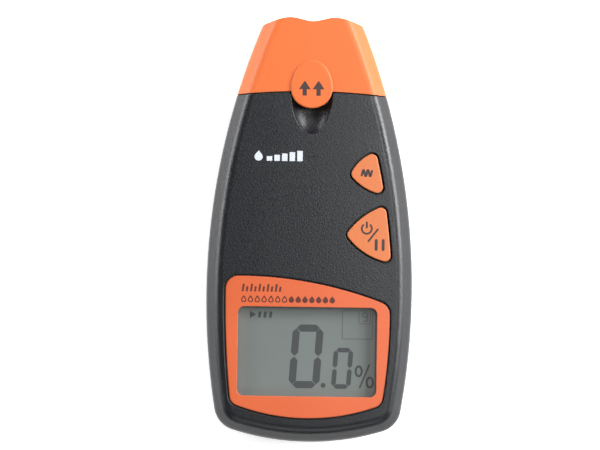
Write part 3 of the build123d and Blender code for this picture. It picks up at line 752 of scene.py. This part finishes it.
@dataclass(frozen=True)
class BatteryJacket:
    """Printed sleeve of a block battery, with plated end plate and terminals past the sleeve."""

    name: str = "battery_jacket"
    sleeve: Colour = linear(38, 42, 52)
    band: Colour = linear(196, 132, 62)
    plate: Colour = linear(196, 196, 190)
    band_y: Pair = (-0.0315, -0.0215)
    sleeve_end_y: float = -0.01685
    stains: float = 700.0

    def make(self) -> bpy.types.Material:
        """Builds the material."""
        graph = Graph(self.name)
        y = graph.axis("Y")
        cloud = graph.noise(self.stains, 3.0, 0.6)
        above = graph.maths("GREATER_THAN", y, self.band_y[0])
        below = graph.maths("LESS_THAN", y, self.band_y[1])
        end = graph.maths("GREATER_THAN", y, self.sleeve_end_y)
        soft, edge = graph.edges(0.0004, 3.0)
        colour = graph.mixed(graph.maths("MULTIPLY", above, below), self.sleeve, self.band)
        colour = graph.mixed(graph.maths("MULTIPLY", edge, 0.4), colour, self.plate)
        colour = graph.mixed(end, colour, self.plate)
        colour = graph.mixed(graph.ranged(cloud, 0.3, 0.8, 0.0, 0.12), colour, (0.02, 0.02, 0.02))
        shader = graph.add(
            "BsdfPrincipled",
            {
                "Base Color": colour,
                "Metallic": graph.ranged(end, 0.0, 1.0, 0.25, 1.0),
                "Roughness": graph.ranged(cloud, 0.3, 0.7, 0.26, 0.42),
                "Normal": graph.bumped(cloud, 0.00001, 0.5, soft),
            },
        )
        return graph.finish(shader)


@dataclass(frozen=True)
class CircuitBoard:
    """Green solder mask over glass cloth, with copper tracks that show through it and bare edges."""

    name: str = "board_green"
    mask: Colour = linear(22, 84, 48)
    track: Colour = linear(40, 118, 66)
    cloth: Colour = linear(150, 150, 92)
    weave: float = 2400.0
    track_scale: float = 260.0
    cloud_scale: float = 900.0

    def make(self) -> bpy.types.Material:
        """Builds the material."""
        graph = Graph(self.name)
        cells = graph.add(
            "TexVoronoi",
            {"Vector": graph.place, "Scale": self.track_scale},
            feature="DISTANCE_TO_EDGE",
            distance="EUCLIDEAN",
        )
        tracks = graph.ranged(cells.outputs["Distance"], 0.05, 0.09, 1.0, 0.0)
        cloud = graph.noise(self.cloud_scale, 2.0, 0.5)
        x, y = graph.axis("X"), graph.axis("Y")
        warp = graph.maths("SINE", graph.maths("MULTIPLY", x, self.weave * math.tau))
        weft = graph.maths("SINE", graph.maths("MULTIPLY", y, self.weave * math.tau))
        woven = graph.maths("MULTIPLY", warp, weft)
        normal = graph.add("SeparateXYZ", {0: graph.add("NewGeometry").outputs["Normal"]}).outputs["Z"]
        side = graph.maths("LESS_THAN", graph.maths("ABSOLUTE", normal), 0.5)
        colour = graph.mixed(graph.maths("MULTIPLY", tracks, 0.7), self.mask, self.track)
        colour = graph.mixed(side, colour, self.cloth)
        colour = graph.mixed(graph.ranged(woven, 0.5, 1.0, 0.0, 0.15), colour, self.cloth)
        shader = graph.add(
            "BsdfPrincipled",
            {
                "Base Color": colour,
                "Roughness": graph.ranged(cloud, 0.3, 0.7, 0.28, 0.42),
                "Normal": graph.bumped(tracks, 0.00003, 0.6),
            },
        )
        return graph.finish(shader)


@dataclass(frozen=True)
class SoftFoam:
    """Open-cell foam or dull rubber: pores in two sizes and no shine, with painted shade in the pores, darker
    where the bumped surface is low.
    """

    name: str
    colour: Colour
    pore_shade: Colour
    scale: float = 1500.0
    depth: float = 0.00012
    roughness: float = 0.92

    def make(self) -> bpy.types.Material:
        """Builds the material."""
        graph = Graph(self.name)
        cells = graph.add("TexVoronoi", {"Vector": graph.place, "Scale": self.scale}, feature="F1")
        cloud = graph.noise(self.scale * 2.5, 3.0, 0.6)
        height = graph.maths("ADD", cells.outputs["Distance"], cloud)
        # Painted shade: the pore shade colour darkens the low places of the bump height, as shade in the
        # pores.
        colour = graph.mixed(graph.ranged(height, 0.5, 1.2, 0.0, 1.0), self.pore_shade, self.colour)
        shader = graph.add(
            "BsdfPrincipled",
            {
                "Base Color": colour,
                "Roughness": graph.ranged(cloud, 0.3, 0.7, self.roughness - 0.1, self.roughness),
                "Normal": graph.bumped(height, self.depth, 0.8),
            },
        )
        return graph.finish(shader)


FINISHES = (
    MouldedPlastic(
        "case_dark",
        linear(25, 27, 31),
        linear(92, 94, 98),
        roughness=0.34,
        grain=1700.0,
        depth=0.00008,
        spread=0.5,
        drift=60.0,
    ),
    MouldedPlastic(
        "cap_orange",
        linear(218, 109, 56),
        linear(255, 168, 118),
        roughness=0.42,
        grain=2600.0,
        depth=0.000012,
        spread=0.04,
        drift=45.0,
        specular=0.28,
    ),
    MouldedPlastic(
        "bezel_orange",
        linear(207, 97, 55),
        linear(252, 160, 124),
        roughness=0.38,
        grain=2600.0,
        depth=0.00001,
        spread=0.04,
        drift=45.0,
    ),
    MouldedPlastic(
        "key_orange",
        linear(203, 113, 62),
        linear(255, 188, 150),
        roughness=0.42,
        grain=2600.0,
        depth=0.00001,
        spread=0.05,
        drift=70.0,
        # Painted shade on the key sides, in the gap round each key.
        gap_shade=linear(18, 17, 18),
    ),
    MouldedPlastic(
        "white_plastic",
        linear(226, 226, 220),
        linear(245, 245, 240),
        roughness=0.4,
        grain=2000.0,
        depth=0.00001,
        spread=0.03,
        drift=80.0,
    ),
    MouldedPlastic(
        "block_plastic",
        linear(30, 31, 33),
        linear(92, 93, 96),
        roughness=0.5,
        grain=2400.0,
        depth=0.00002,
        spread=0.2,
        drift=90.0,
    ),
    MouldedPlastic(
        "chip_black",
        linear(26, 26, 28),
        linear(74, 74, 78),
        roughness=0.55,
        grain=5200.0,
        depth=0.00001,
        spread=0.2,
        drift=300.0,
    ),
    MouldedPlastic(
        "lead_red",
        linear(186, 24, 20),
        linear(220, 70, 60),
        roughness=0.35,
        grain=2600.0,
        depth=0.000006,
        spread=0.08,
        drift=200.0,
    ),
    MouldedPlastic(
        "lead_black",
        linear(24, 24, 26),
        linear(70, 70, 74),
        roughness=0.35,
        grain=2600.0,
        depth=0.000006,
        spread=0.12,
        drift=200.0,
    ),
    Metal(
        "foil",
        linear(212, 214, 214),
        linear(170, 172, 174),
        roughness=0.3,
        marks=(2000.0, 12000.0, 2000.0),
    ),
    Metal("brass", linear(206, 164, 86), linear(150, 108, 52), roughness=0.26),
    Metal(
        "pin_steel",
        linear(202, 202, 200),
        linear(150, 150, 150),
        roughness=0.2,
        marks=(1500.0, 14000.0, 1500.0),
    ),
    Metal("screw_steel", linear(176, 176, 174), linear(120, 120, 118), roughness=0.34),
    Metal("solder", linear(190, 192, 194), linear(140, 142, 146), roughness=0.3),
    ClearWindow(),
    DisplayGlass(),
    BatteryJacket(),
    CircuitBoard(),
    # The second colour is painted shade in the foam's pores.
    SoftFoam("foam", linear(52, 52, 56), linear(16, 16, 18)),
    SoftFoam(
        "rubber_strip",
        linear(196, 112, 128),
        linear(40, 38, 42),
        scale=4200.0,
        depth=0.00002,
        roughness=0.7,
    ),
    Ink("white_ink", linear(206, 212, 220), linear(168, 174, 184)),
    Ink("dark_ink", linear(56, 42, 44), linear(84, 60, 56)),
    Ink("brown_ink", linear(84, 34, 24), linear(124, 52, 36)),
    Ink("crystal", linear(74, 75, 79), linear(81, 83, 85), roughness=0.5),
    Ink("faint_crystal", linear(101, 105, 105), linear(108, 113, 112), roughness=0.5),
    Ink("label_silver", linear(186, 188, 190), linear(170, 172, 174), roughness=0.35),
)


class Paint:
    """All the finishes by name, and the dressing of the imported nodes."""

    def __init__(self) -> None:
        """Makes every finish once."""
        self.by_name = {finish.name: finish.make() for finish in FINISHES}

    def __getitem__(self, name: str) -> bpy.types.Material:
        """The material of that name."""
        return self.by_name[name]

    def dress(self, nodes: dict[str, bpy.types.Object]) -> None:
        """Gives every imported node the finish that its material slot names.

        Args:
            nodes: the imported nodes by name.
        """
        for name, node in nodes.items():
            for slot in node.material_slots:
                slot.material = self.by_name[slot.material.name.split(".")[0]]
            LOG.info("%s: %s", name, ", ".join(slot.material.name for slot in node.material_slots))


# ------------------------------------------------------------------------------------------ sub-assemblies


@dataclass
class Casework:
    """The two dark shells and the battery door: their printed mark and rating plate."""

    mark_foot: Pair = (-17.3, 22.6)
    mark_height: float = 3.4
    drop_width: float = 2.7
    bar_width: float = 1.8
    bar_pitch: float = 2.5
    bars: int = 5
    first_bar: float = 3.6
    shortest_bar: float = 0.45
    plate_size: Pair = (35.0, 23.0)
    plate_y: float = 13.5
    plate_z: Pair = (0.08, 0.32)

    def build(self, paint: Paint) -> None:
        """Builds the printed level mark and the rating plate.

        Args:
            paint: the finishes.
        """
        x, y = self.mark_foot
        strokes = [droplet((x, y), (self.drop_width, self.mark_height))]
        for bar in range(self.bars):
            bar_x = x + self.first_bar + bar * self.bar_pitch
            share = self.shortest_bar + (1 - self.shortest_bar) * bar / (self.bars - 1)
            height = self.mark_height * share
            strokes.append(straight((bar_x, y), (bar_x, y + height), self.bar_width))
        Print(Crown()).lay(strokes).piece("case_level_mark", Body.HOUSING, "case_dark", paint["white_ink"])
        self._plate().piece("rear_rating_plate", Body.HOUSING, "case_dark", paint["label_silver"])

    def _plate(self) -> Surface:
        """Blank silver plate in the recess of the rear face, as one stroke across it."""
        half_x, half_y = self.plate_size[0] / 2, self.plate_size[1] / 2
        made = Surface()
        stroke = straight((-half_x, self.plate_y), (half_x, self.plate_y), 2 * half_y)
        made.slab(stroke.plan(9), Level(self.plate_z[1]), Level(self.plate_z[0]))
        return made


@dataclass
class PinCap:
    """The pull-off cap: two arrows on its thumb tab show which way it comes off."""

    arrow_x: Pair = (-2.45, 2.1)
    foot_y: float = 44.2
    height: float = 4.8
    shaft: float = 1.35
    head_width: float = 3.9
    head_length: float = 2.7
    tip_width: float = 0.25
    overlap: float = 0.1
    tab_rise: float = 0.55

    def build(self, paint: Paint) -> None:
        """Builds the arrows.

        Args:
            paint: the finishes.
        """
        strokes = []
        for x in self.arrow_x:
            tip_y = self.foot_y + self.height
            neck_y = tip_y - self.head_length
            strokes.append(straight((x, self.foot_y), (x, neck_y + self.overlap), self.shaft))
            strokes.append(taper((x, neck_y), (x, tip_y), (self.head_width, self.tip_width)))
        marks = Print(Crown(-self.tab_rise)).lay(strokes)
        marks.piece("tab_arrows", Body.CAP, "cap_orange", paint["dark_ink"])


@dataclass
class Keypad:
    """The two orange keys: a wave on the mode key, and power, slash and hold on the other."""

    key_rise: float = 0.45
    wave_start: Pair = (16.5, 19.0)
    wave_size: Pair = (3.7, 2.0)
    wave_periods: float = 2.5
    wave_line: float = 0.75
    power_centre: Pair = (18.6, 0.75)
    power_radius: float = 1.65
    power_turn: Pair = (125, 415)
    power_stem: Pair = (0.1, 2.4)
    slash: tuple[Pair, Pair] = ((19.0, -3.6), (22.4, 0.8))
    hold_x: Pair = (21.75, 24.05)
    hold_y: Pair = (-6.5, -2.6)
    hold_line: float = 0.95
    line: float = 0.6

    def build(self, paint: Paint) -> None:
        """Builds the key marks.

        Args:
            paint: the finishes.
        """
        face = Print(Crown(-self.key_rise))
        signal = wave(self.wave_start, *self.wave_size, self.wave_periods, self.wave_line)
        face.lay([signal]).piece("mode_key_wave", Body.MODE_KEY, "key_orange", paint["dark_ink"])
        x, y = self.power_centre
        strokes = [
            arc(self.power_centre, (self.power_radius, self.power_radius), self.power_turn, self.line),
            straight((x, y + self.power_stem[0]), (x, y + self.power_stem[1]), self.line, End.ROUND),
            straight(self.slash[0], self.slash[1], self.line, End.ROUND),
        ]
        for bar in self.hold_x:
            strokes.append(straight((bar, self.hold_y[0]), (bar, self.hold_y[1]), self.hold_line, End.ROUND))
        face.lay(strokes).piece("power_key_marks", Body.POWER_KEY, "key_orange", paint["dark_ink"])


@dataclass
class SevenSegment:
    """One character of the display, with the segments that are lit.

    left, right, foot and head are the centre lines of its strokes, and slant is in degrees.
    """

    left: float
    right: float
    foot: float
    head: float
    width: float
    slant: float
    gap: float = 0.16

    def strokes(self, lit: str) -> list[Stroke]:
        """The lit segments, each a bar with pointed ends, sheared to the slant.

        Args:
            lit: letters of the lit segments, a to g in the usual order.

        Returns:
            The strokes.
        """
        middle = (self.foot + self.head) / 2
        corners = {
            "a": ((self.left, self.head), (self.right, self.head)),
            "b": ((self.right, self.head), (self.right, middle)),
            "c": ((self.right, middle), (self.right, self.foot)),
            "d": ((self.left, self.foot), (self.right, self.foot)),
            "e": ((self.left, middle), (self.left, self.foot)),
            "f": ((self.left, self.head), (self.left, middle)),
            "g": ((self.left, middle), (self.right, middle)),
        }
        made = []
        for letter in lit:
            start, stop = (np.array(corner) for corner in corners[letter])
            along = (stop - start) / np.linalg.norm(stop - start)
            trim = self.gap * 0.7
            bar = straight(start + along * trim, stop - along * trim, self.width, End.POINT)
            made.append(slanted(bar, self.foot, self.slant))
        return made


@dataclass
class ChannelBox:
    """Box at the top right of the display: a large frame, with a small one and its figure in the corner."""

    left: float = 11.05
    right: float = 21.0
    low: float = -35.6
    high: float = -26.3
    line: float = 0.32
    small_left: float = 16.5
    small_right: float = 20.2
    small_low: float = -30.6
    small_line: float = 0.3
    figure: SevenSegment = field(
        default_factory=lambda: SevenSegment(17.6, 19.15, -29.75, -27.0, width=0.5, slant=3.0, gap=0.05)
    )

    def strokes(self) -> list[Stroke]:
        """The two frames and the figure 9."""
        return [
            straight((self.left, self.low), (self.left, self.high), self.line),
            straight((self.right, self.low), (self.right, self.high), self.line),
            straight((self.left, self.low), (self.right, self.low), self.line),
            straight((self.left, self.high), (self.right, self.high), self.line),
            straight((self.small_left, self.small_low), (self.small_left, self.high), self.small_line),
            straight((self.small_right, self.small_low), (self.small_right, self.high), self.small_line),
            straight((self.small_left, self.small_low), (self.small_right, self.small_low), self.small_line),
            *self.figure.strokes("abcdfg"),
        ]


@dataclass
class Display:
    """The image between the glass and the window: reading, percent sign, live mark and channel box."""

    image_z: float = 25.83
    large: SevenSegment = field(
        default_factory=lambda: SevenSegment(-5.25, 2.55, -50.85, -32.25, width=2.35, slant=3.8)
    )
    small: SevenSegment = field(
        default_factory=lambda: SevenSegment(8.35, 13.25, -51.3, -39.3, width=1.5, slant=3.8)
    )
    point: tuple[Pair, Pair] = ((4.2, -51.0), (5.8, -51.0))
    point_width: float = 1.6
    percent_centres: tuple[Pair, Pair] = ((16.65, -46.2), (20.35, -49.85))
    percent_radii: tuple[Pair, Pair] = ((1.0, 1.6), (1.05, 1.6))
    percent_slash: tuple[Pair, Pair] = ((16.95, -51.8), (20.15, -43.9))
    percent_lines: Pair = (0.72, 0.55)
    live_y: float = -28.0
    live_slant: float = 8.0
    arrow_x: Pair = (-19.4, -17.5)
    arrow_widths: Pair = (2.4, 0.2)
    dash_x: tuple[float, float, float] = (-16.2, -14.4, -12.6)
    dash_reach: float = 1.0
    dash_width: float = 0.9
    channel: ChannelBox = field(default_factory=ChannelBox)

    def build(self, paint: Paint) -> None:
        """Builds the display image.

        Args:
            paint: the finishes.
        """
        image = Print(Level(self.image_z), film=0.0, sunk=0.02, step=0.0006)
        reading = self.large.strokes("abcdef") + self.small.strokes("abcdef")
        reading.append(straight(self.point[0], self.point[1], self.point_width, End.ROUND))
        drawn = (
            ("display_reading", reading, "crystal"),
            ("display_percent", self._percent(), "crystal"),
            ("display_live_mark", self._live_mark(), "crystal"),
            ("display_channel", self.channel.strokes(), "faint_crystal"),
        )
        for name, strokes, finish in drawn:
            image.lay(strokes).piece(name, Body.HOUSING, "display_glass", paint[finish])

    def _percent(self) -> list[Stroke]:
        """Percent sign: two rings and a slash."""
        ring_line, slash_line = self.percent_lines
        places = zip(self.percent_centres, self.percent_radii)
        rings = [arc(centre, radii, (0, 360), ring_line) for centre, radii in places]
        return rings + [straight(self.percent_slash[0], self.percent_slash[1], slash_line, End.ROUND)]

    def _live_mark(self) -> list[Stroke]:
        """Running indicator: an arrow head and three dashes, slanted to the right."""
        y, reach = self.live_y, self.dash_reach
        strokes = [taper((self.arrow_x[0], y), (self.arrow_x[1], y), self.arrow_widths)]
        strokes += [straight((x, y - reach), (x, y + reach), self.dash_width) for x in self.dash_x]
        return [slanted(stroke, y, self.live_slant) for stroke in strokes]


@dataclass
class Surround:
    """The orange surround of the display, with a row of short bars and a row of drops printed on it."""

    drop: float = 0.3
    bar_foot: Pair = (-21.9, -20.4)
    bars: int = 10
    bar_pitch: float = 1.36
    bar_heights: Pair = (2.5, 1.7)
    bar_width: float = 0.62
    bar_slant: float = 8.0
    drop_foot: Pair = (-21.5, -23.95)
    hollow_drops: int = 7
    drops: int = 14
    drop_pitch: float = 2.24
    drop_size: Pair = (1.75, 2.3)
    drop_line: float = 0.34

    def build(self, paint: Paint) -> None:
        """Builds both rows.

        Args:
            paint: the finishes.
        """
        scales = Print(Crown(self.drop)).lay(self._bar_scale() + self._drop_scale())
        scales.piece("surround_scales", Body.HOUSING, "bezel_orange", paint["brown_ink"])

    def _bar_scale(self) -> list[Stroke]:
        """Row of short bars, one long and one short in turn, like the edge of a rule."""
        strokes = []
        for number in range(self.bars):
            x, y = self.bar_foot[0] + number * self.bar_pitch, self.bar_foot[1]
            bar = straight((x, y), (x, y + self.bar_heights[number % 2]), self.bar_width)
            strokes.append(slanted(bar, y, self.bar_slant))
        return strokes

    def _drop_scale(self) -> list[Stroke]:
        """Row of drops, hollow ones for dry and full ones for wet."""
        x, y = self.drop_foot
        feet = [(x + number * self.drop_pitch, y) for number in range(self.drops)]
        hollow = [hollow_droplet(foot, self.drop_size, self.drop_line) for foot in feet[: self.hollow_drops]]
        return hollow + [droplet(foot, self.drop_size) for foot in feet[self.hollow_drops :]]


@dataclass
class Electronics:
    """Solder joints on the underside of the board."""

    board_low_z: float = 21.4
    joint_radius: float = 0.95
    joint_height: float = 0.9
    narrowing: float = 0.72
    closing_radius: float = 0.02
    joints: tuple[Pair, ...] = ((-6.5, 17.0), (6.5, 17.0), (-3.0, 2.0), (3.0, 2.0))

    def build(self, paint: Paint) -> None:
        """Builds the joints round the ends of the leads.

        A joint's radius falls from its foot to its tip as a quarter wave, so it is concave like wetted tin.

        Args:
            paint: the finishes.
        """
        share = np.linspace(0, 1, 8)
        radius = self.joint_radius * (1 - self.narrowing * np.sin(share * np.pi / 2))
        profile = [(self.closing_radius, -self.joint_height)]
        profile += list(zip(radius[::-1], (-self.joint_height * share)[::-1]))
        profile += [(self.closing_radius, 0.0)]
        made = Surface()
        for x, y in self.joints:
            made.lathe(profile, (x, y, self.board_low_z))
        made.piece("lead_solder_joints", Body.HOUSING, "board_green", paint["solder"], smooth=True)


@dataclass(frozen=True)
class Panel:
    """A soft rectangular light that faces the meter.

    place is its middle in metres. size is its length along y, or along x at the two ends, and then its other
    side. power is in watts.
    """

    name: str
    place: tuple[float, float, float]
    size: Pair
    power: float


PANELS = (
    Panel("key_box", (1.15, 0.5, 0.6), (1.2, 0.6), 35.0),
    Panel("overhead_right", (0.4, 0.24, 1.5), (0.6, 0.3), 6.4),
    Panel("left_panel", (-1.1, 0.5, 0.3), (1.2, 0.5), 17.0),
    Panel("right_panel", (1.1, 0.5, 0.3), (1.2, 0.5), 4.5),
    Panel("tail_panel", (0.0, -0.95, 0.9), (1.0, 0.5), 3.2),
    Panel("nose_panel", (0.0, 0.95, 0.9), (1.0, 0.5), 2.0),
)


@dataclass
class Studio:
    """White table, soft lights and the camera square above the front face."""

    floor_z: float = -0.0003
    floor_reach: float = 6.0
    floor_glow: float = 0.6
    frame_width: float = 0.19846
    centre: Pair = (-0.003365, 0.001638)
    roll: float = 0.84
    lens: float = 420.0
    sensor: float = 36.0
    silhouette_z: float = 0.0135
    aim_z: float = 0.015
    room_light: float = 0.08
    backdrop: float = 0.75

    def build(self) -> None:
        """Sets the table, the lights and the camera."""
        self._floor()
        for panel in PANELS:
            self._light(panel)
        self._room()
        bpy.context.scene.view_settings.view_transform = "Standard"
        self._camera()

    def _room(self) -> None:
        """Weak even light from the room, which itself looks pale behind the table."""
        world = bpy.data.worlds.new("room")
        world.use_nodes = True
        nodes, links = world.node_tree.nodes, world.node_tree.links
        room = nodes["Background"]
        seen = nodes.new("ShaderNodeLightPath")
        share = nodes.new("ShaderNodeMapRange")
        share.inputs["To Min"].default_value = self.room_light
        share.inputs["To Max"].default_value = self.backdrop
        links.new(seen.outputs["Is Camera Ray"], share.inputs["Value"])
        links.new(share.outputs["Result"], room.inputs["Strength"])
        room.inputs["Color"].default_value = (1.0, 1.0, 1.0, 1.0)
        bpy.context.scene.world = world

    def _floor(self) -> None:
        """Large white table top, which glows a little, as a light table does."""
        made = bpy.data.meshes.new("table_top")
        corners = np.array([(-1, -1), (1, -1), (1, 1), (-1, 1)]) * self.floor_reach
        made.from_pydata([(float(x), float(y), self.floor_z) for x, y in corners], [], [(0, 1, 2, 3)])
        table = bpy.data.objects.new("table_top", made)
        bpy.context.scene.collection.objects.link(table)
        graph = Graph("table_white")
        shader = graph.add(
            "BsdfPrincipled",
            {
                "Base Color": graph.mixed(graph.noise(6.0), (0.93, 0.93, 0.93), (0.96, 0.96, 0.96)),
                "Roughness": 0.85,
                "Emission Color": (1.0, 1.0, 1.0),
                "Emission Strength": self.floor_glow,
            },
        )
        made.materials.append(graph.finish(shader))

    def _light(self, panel: Panel) -> None:
        """Adds one light, turned to the meter.

        Args:
            panel: the light's name, place, size and power.
        """
        data = bpy.data.lights.new(panel.name, "AREA")
        data.shape = "RECTANGLE"
        data.size, data.size_y = panel.size
        data.energy = panel.power
        light = bpy.data.objects.new(panel.name, data)
        away = np.array(panel.place) - np.array([0.0, 0.0, self.aim_z])
        back = away / np.linalg.norm(away)
        sideways = abs(panel.place[0]) >= abs(panel.place[1])
        along = np.array([0.0, 1.0, 0.0]) if sideways else np.array([1.0, 0.0, 0.0])
        up = np.cross(back, along)
        up /= np.linalg.norm(up)
        along = np.cross(up, back)
        matrix = np.eye(4)
        matrix[:3, 0], matrix[:3, 1], matrix[:3, 2], matrix[:3, 3] = along, up, back, panel.place
        light.matrix_world = Matrix(matrix.tolist())
        bpy.context.scene.collection.objects.link(light)

    def _camera(self) -> None:
        """Adds the camera, far off on a long lens, so that the meter is seen almost without perspective."""
        data = bpy.data.cameras.new("front_view")
        data.lens, data.sensor_width = self.lens, self.sensor
        camera = bpy.data.objects.new("front_view", data)
        distance = self.frame_width * self.lens / self.sensor
        camera.location = (*self.centre, self.silhouette_z + distance)
        camera.rotation_euler = (0.0, 0.0, math.radians(self.roll))
        data.clip_start, data.clip_end = 0.05, 20.0
        bpy.context.scene.collection.objects.link(camera)
        bpy.context.scene.camera = camera


def main() -> None:
    """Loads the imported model, dresses it, adds the visible details and sets the stage."""
    logging.basicConfig(level=logging.INFO, format="%(name)s %(message)s")
    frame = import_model()
    paint = Paint()
    paint.dress(frame["nodes"])
    for assembly in (Casework(), PinCap(), Keypad(), Display(), Surround(), Electronics()):
        assembly.build(paint)
    Studio().build()


if __name__ == "__main__":
    main()
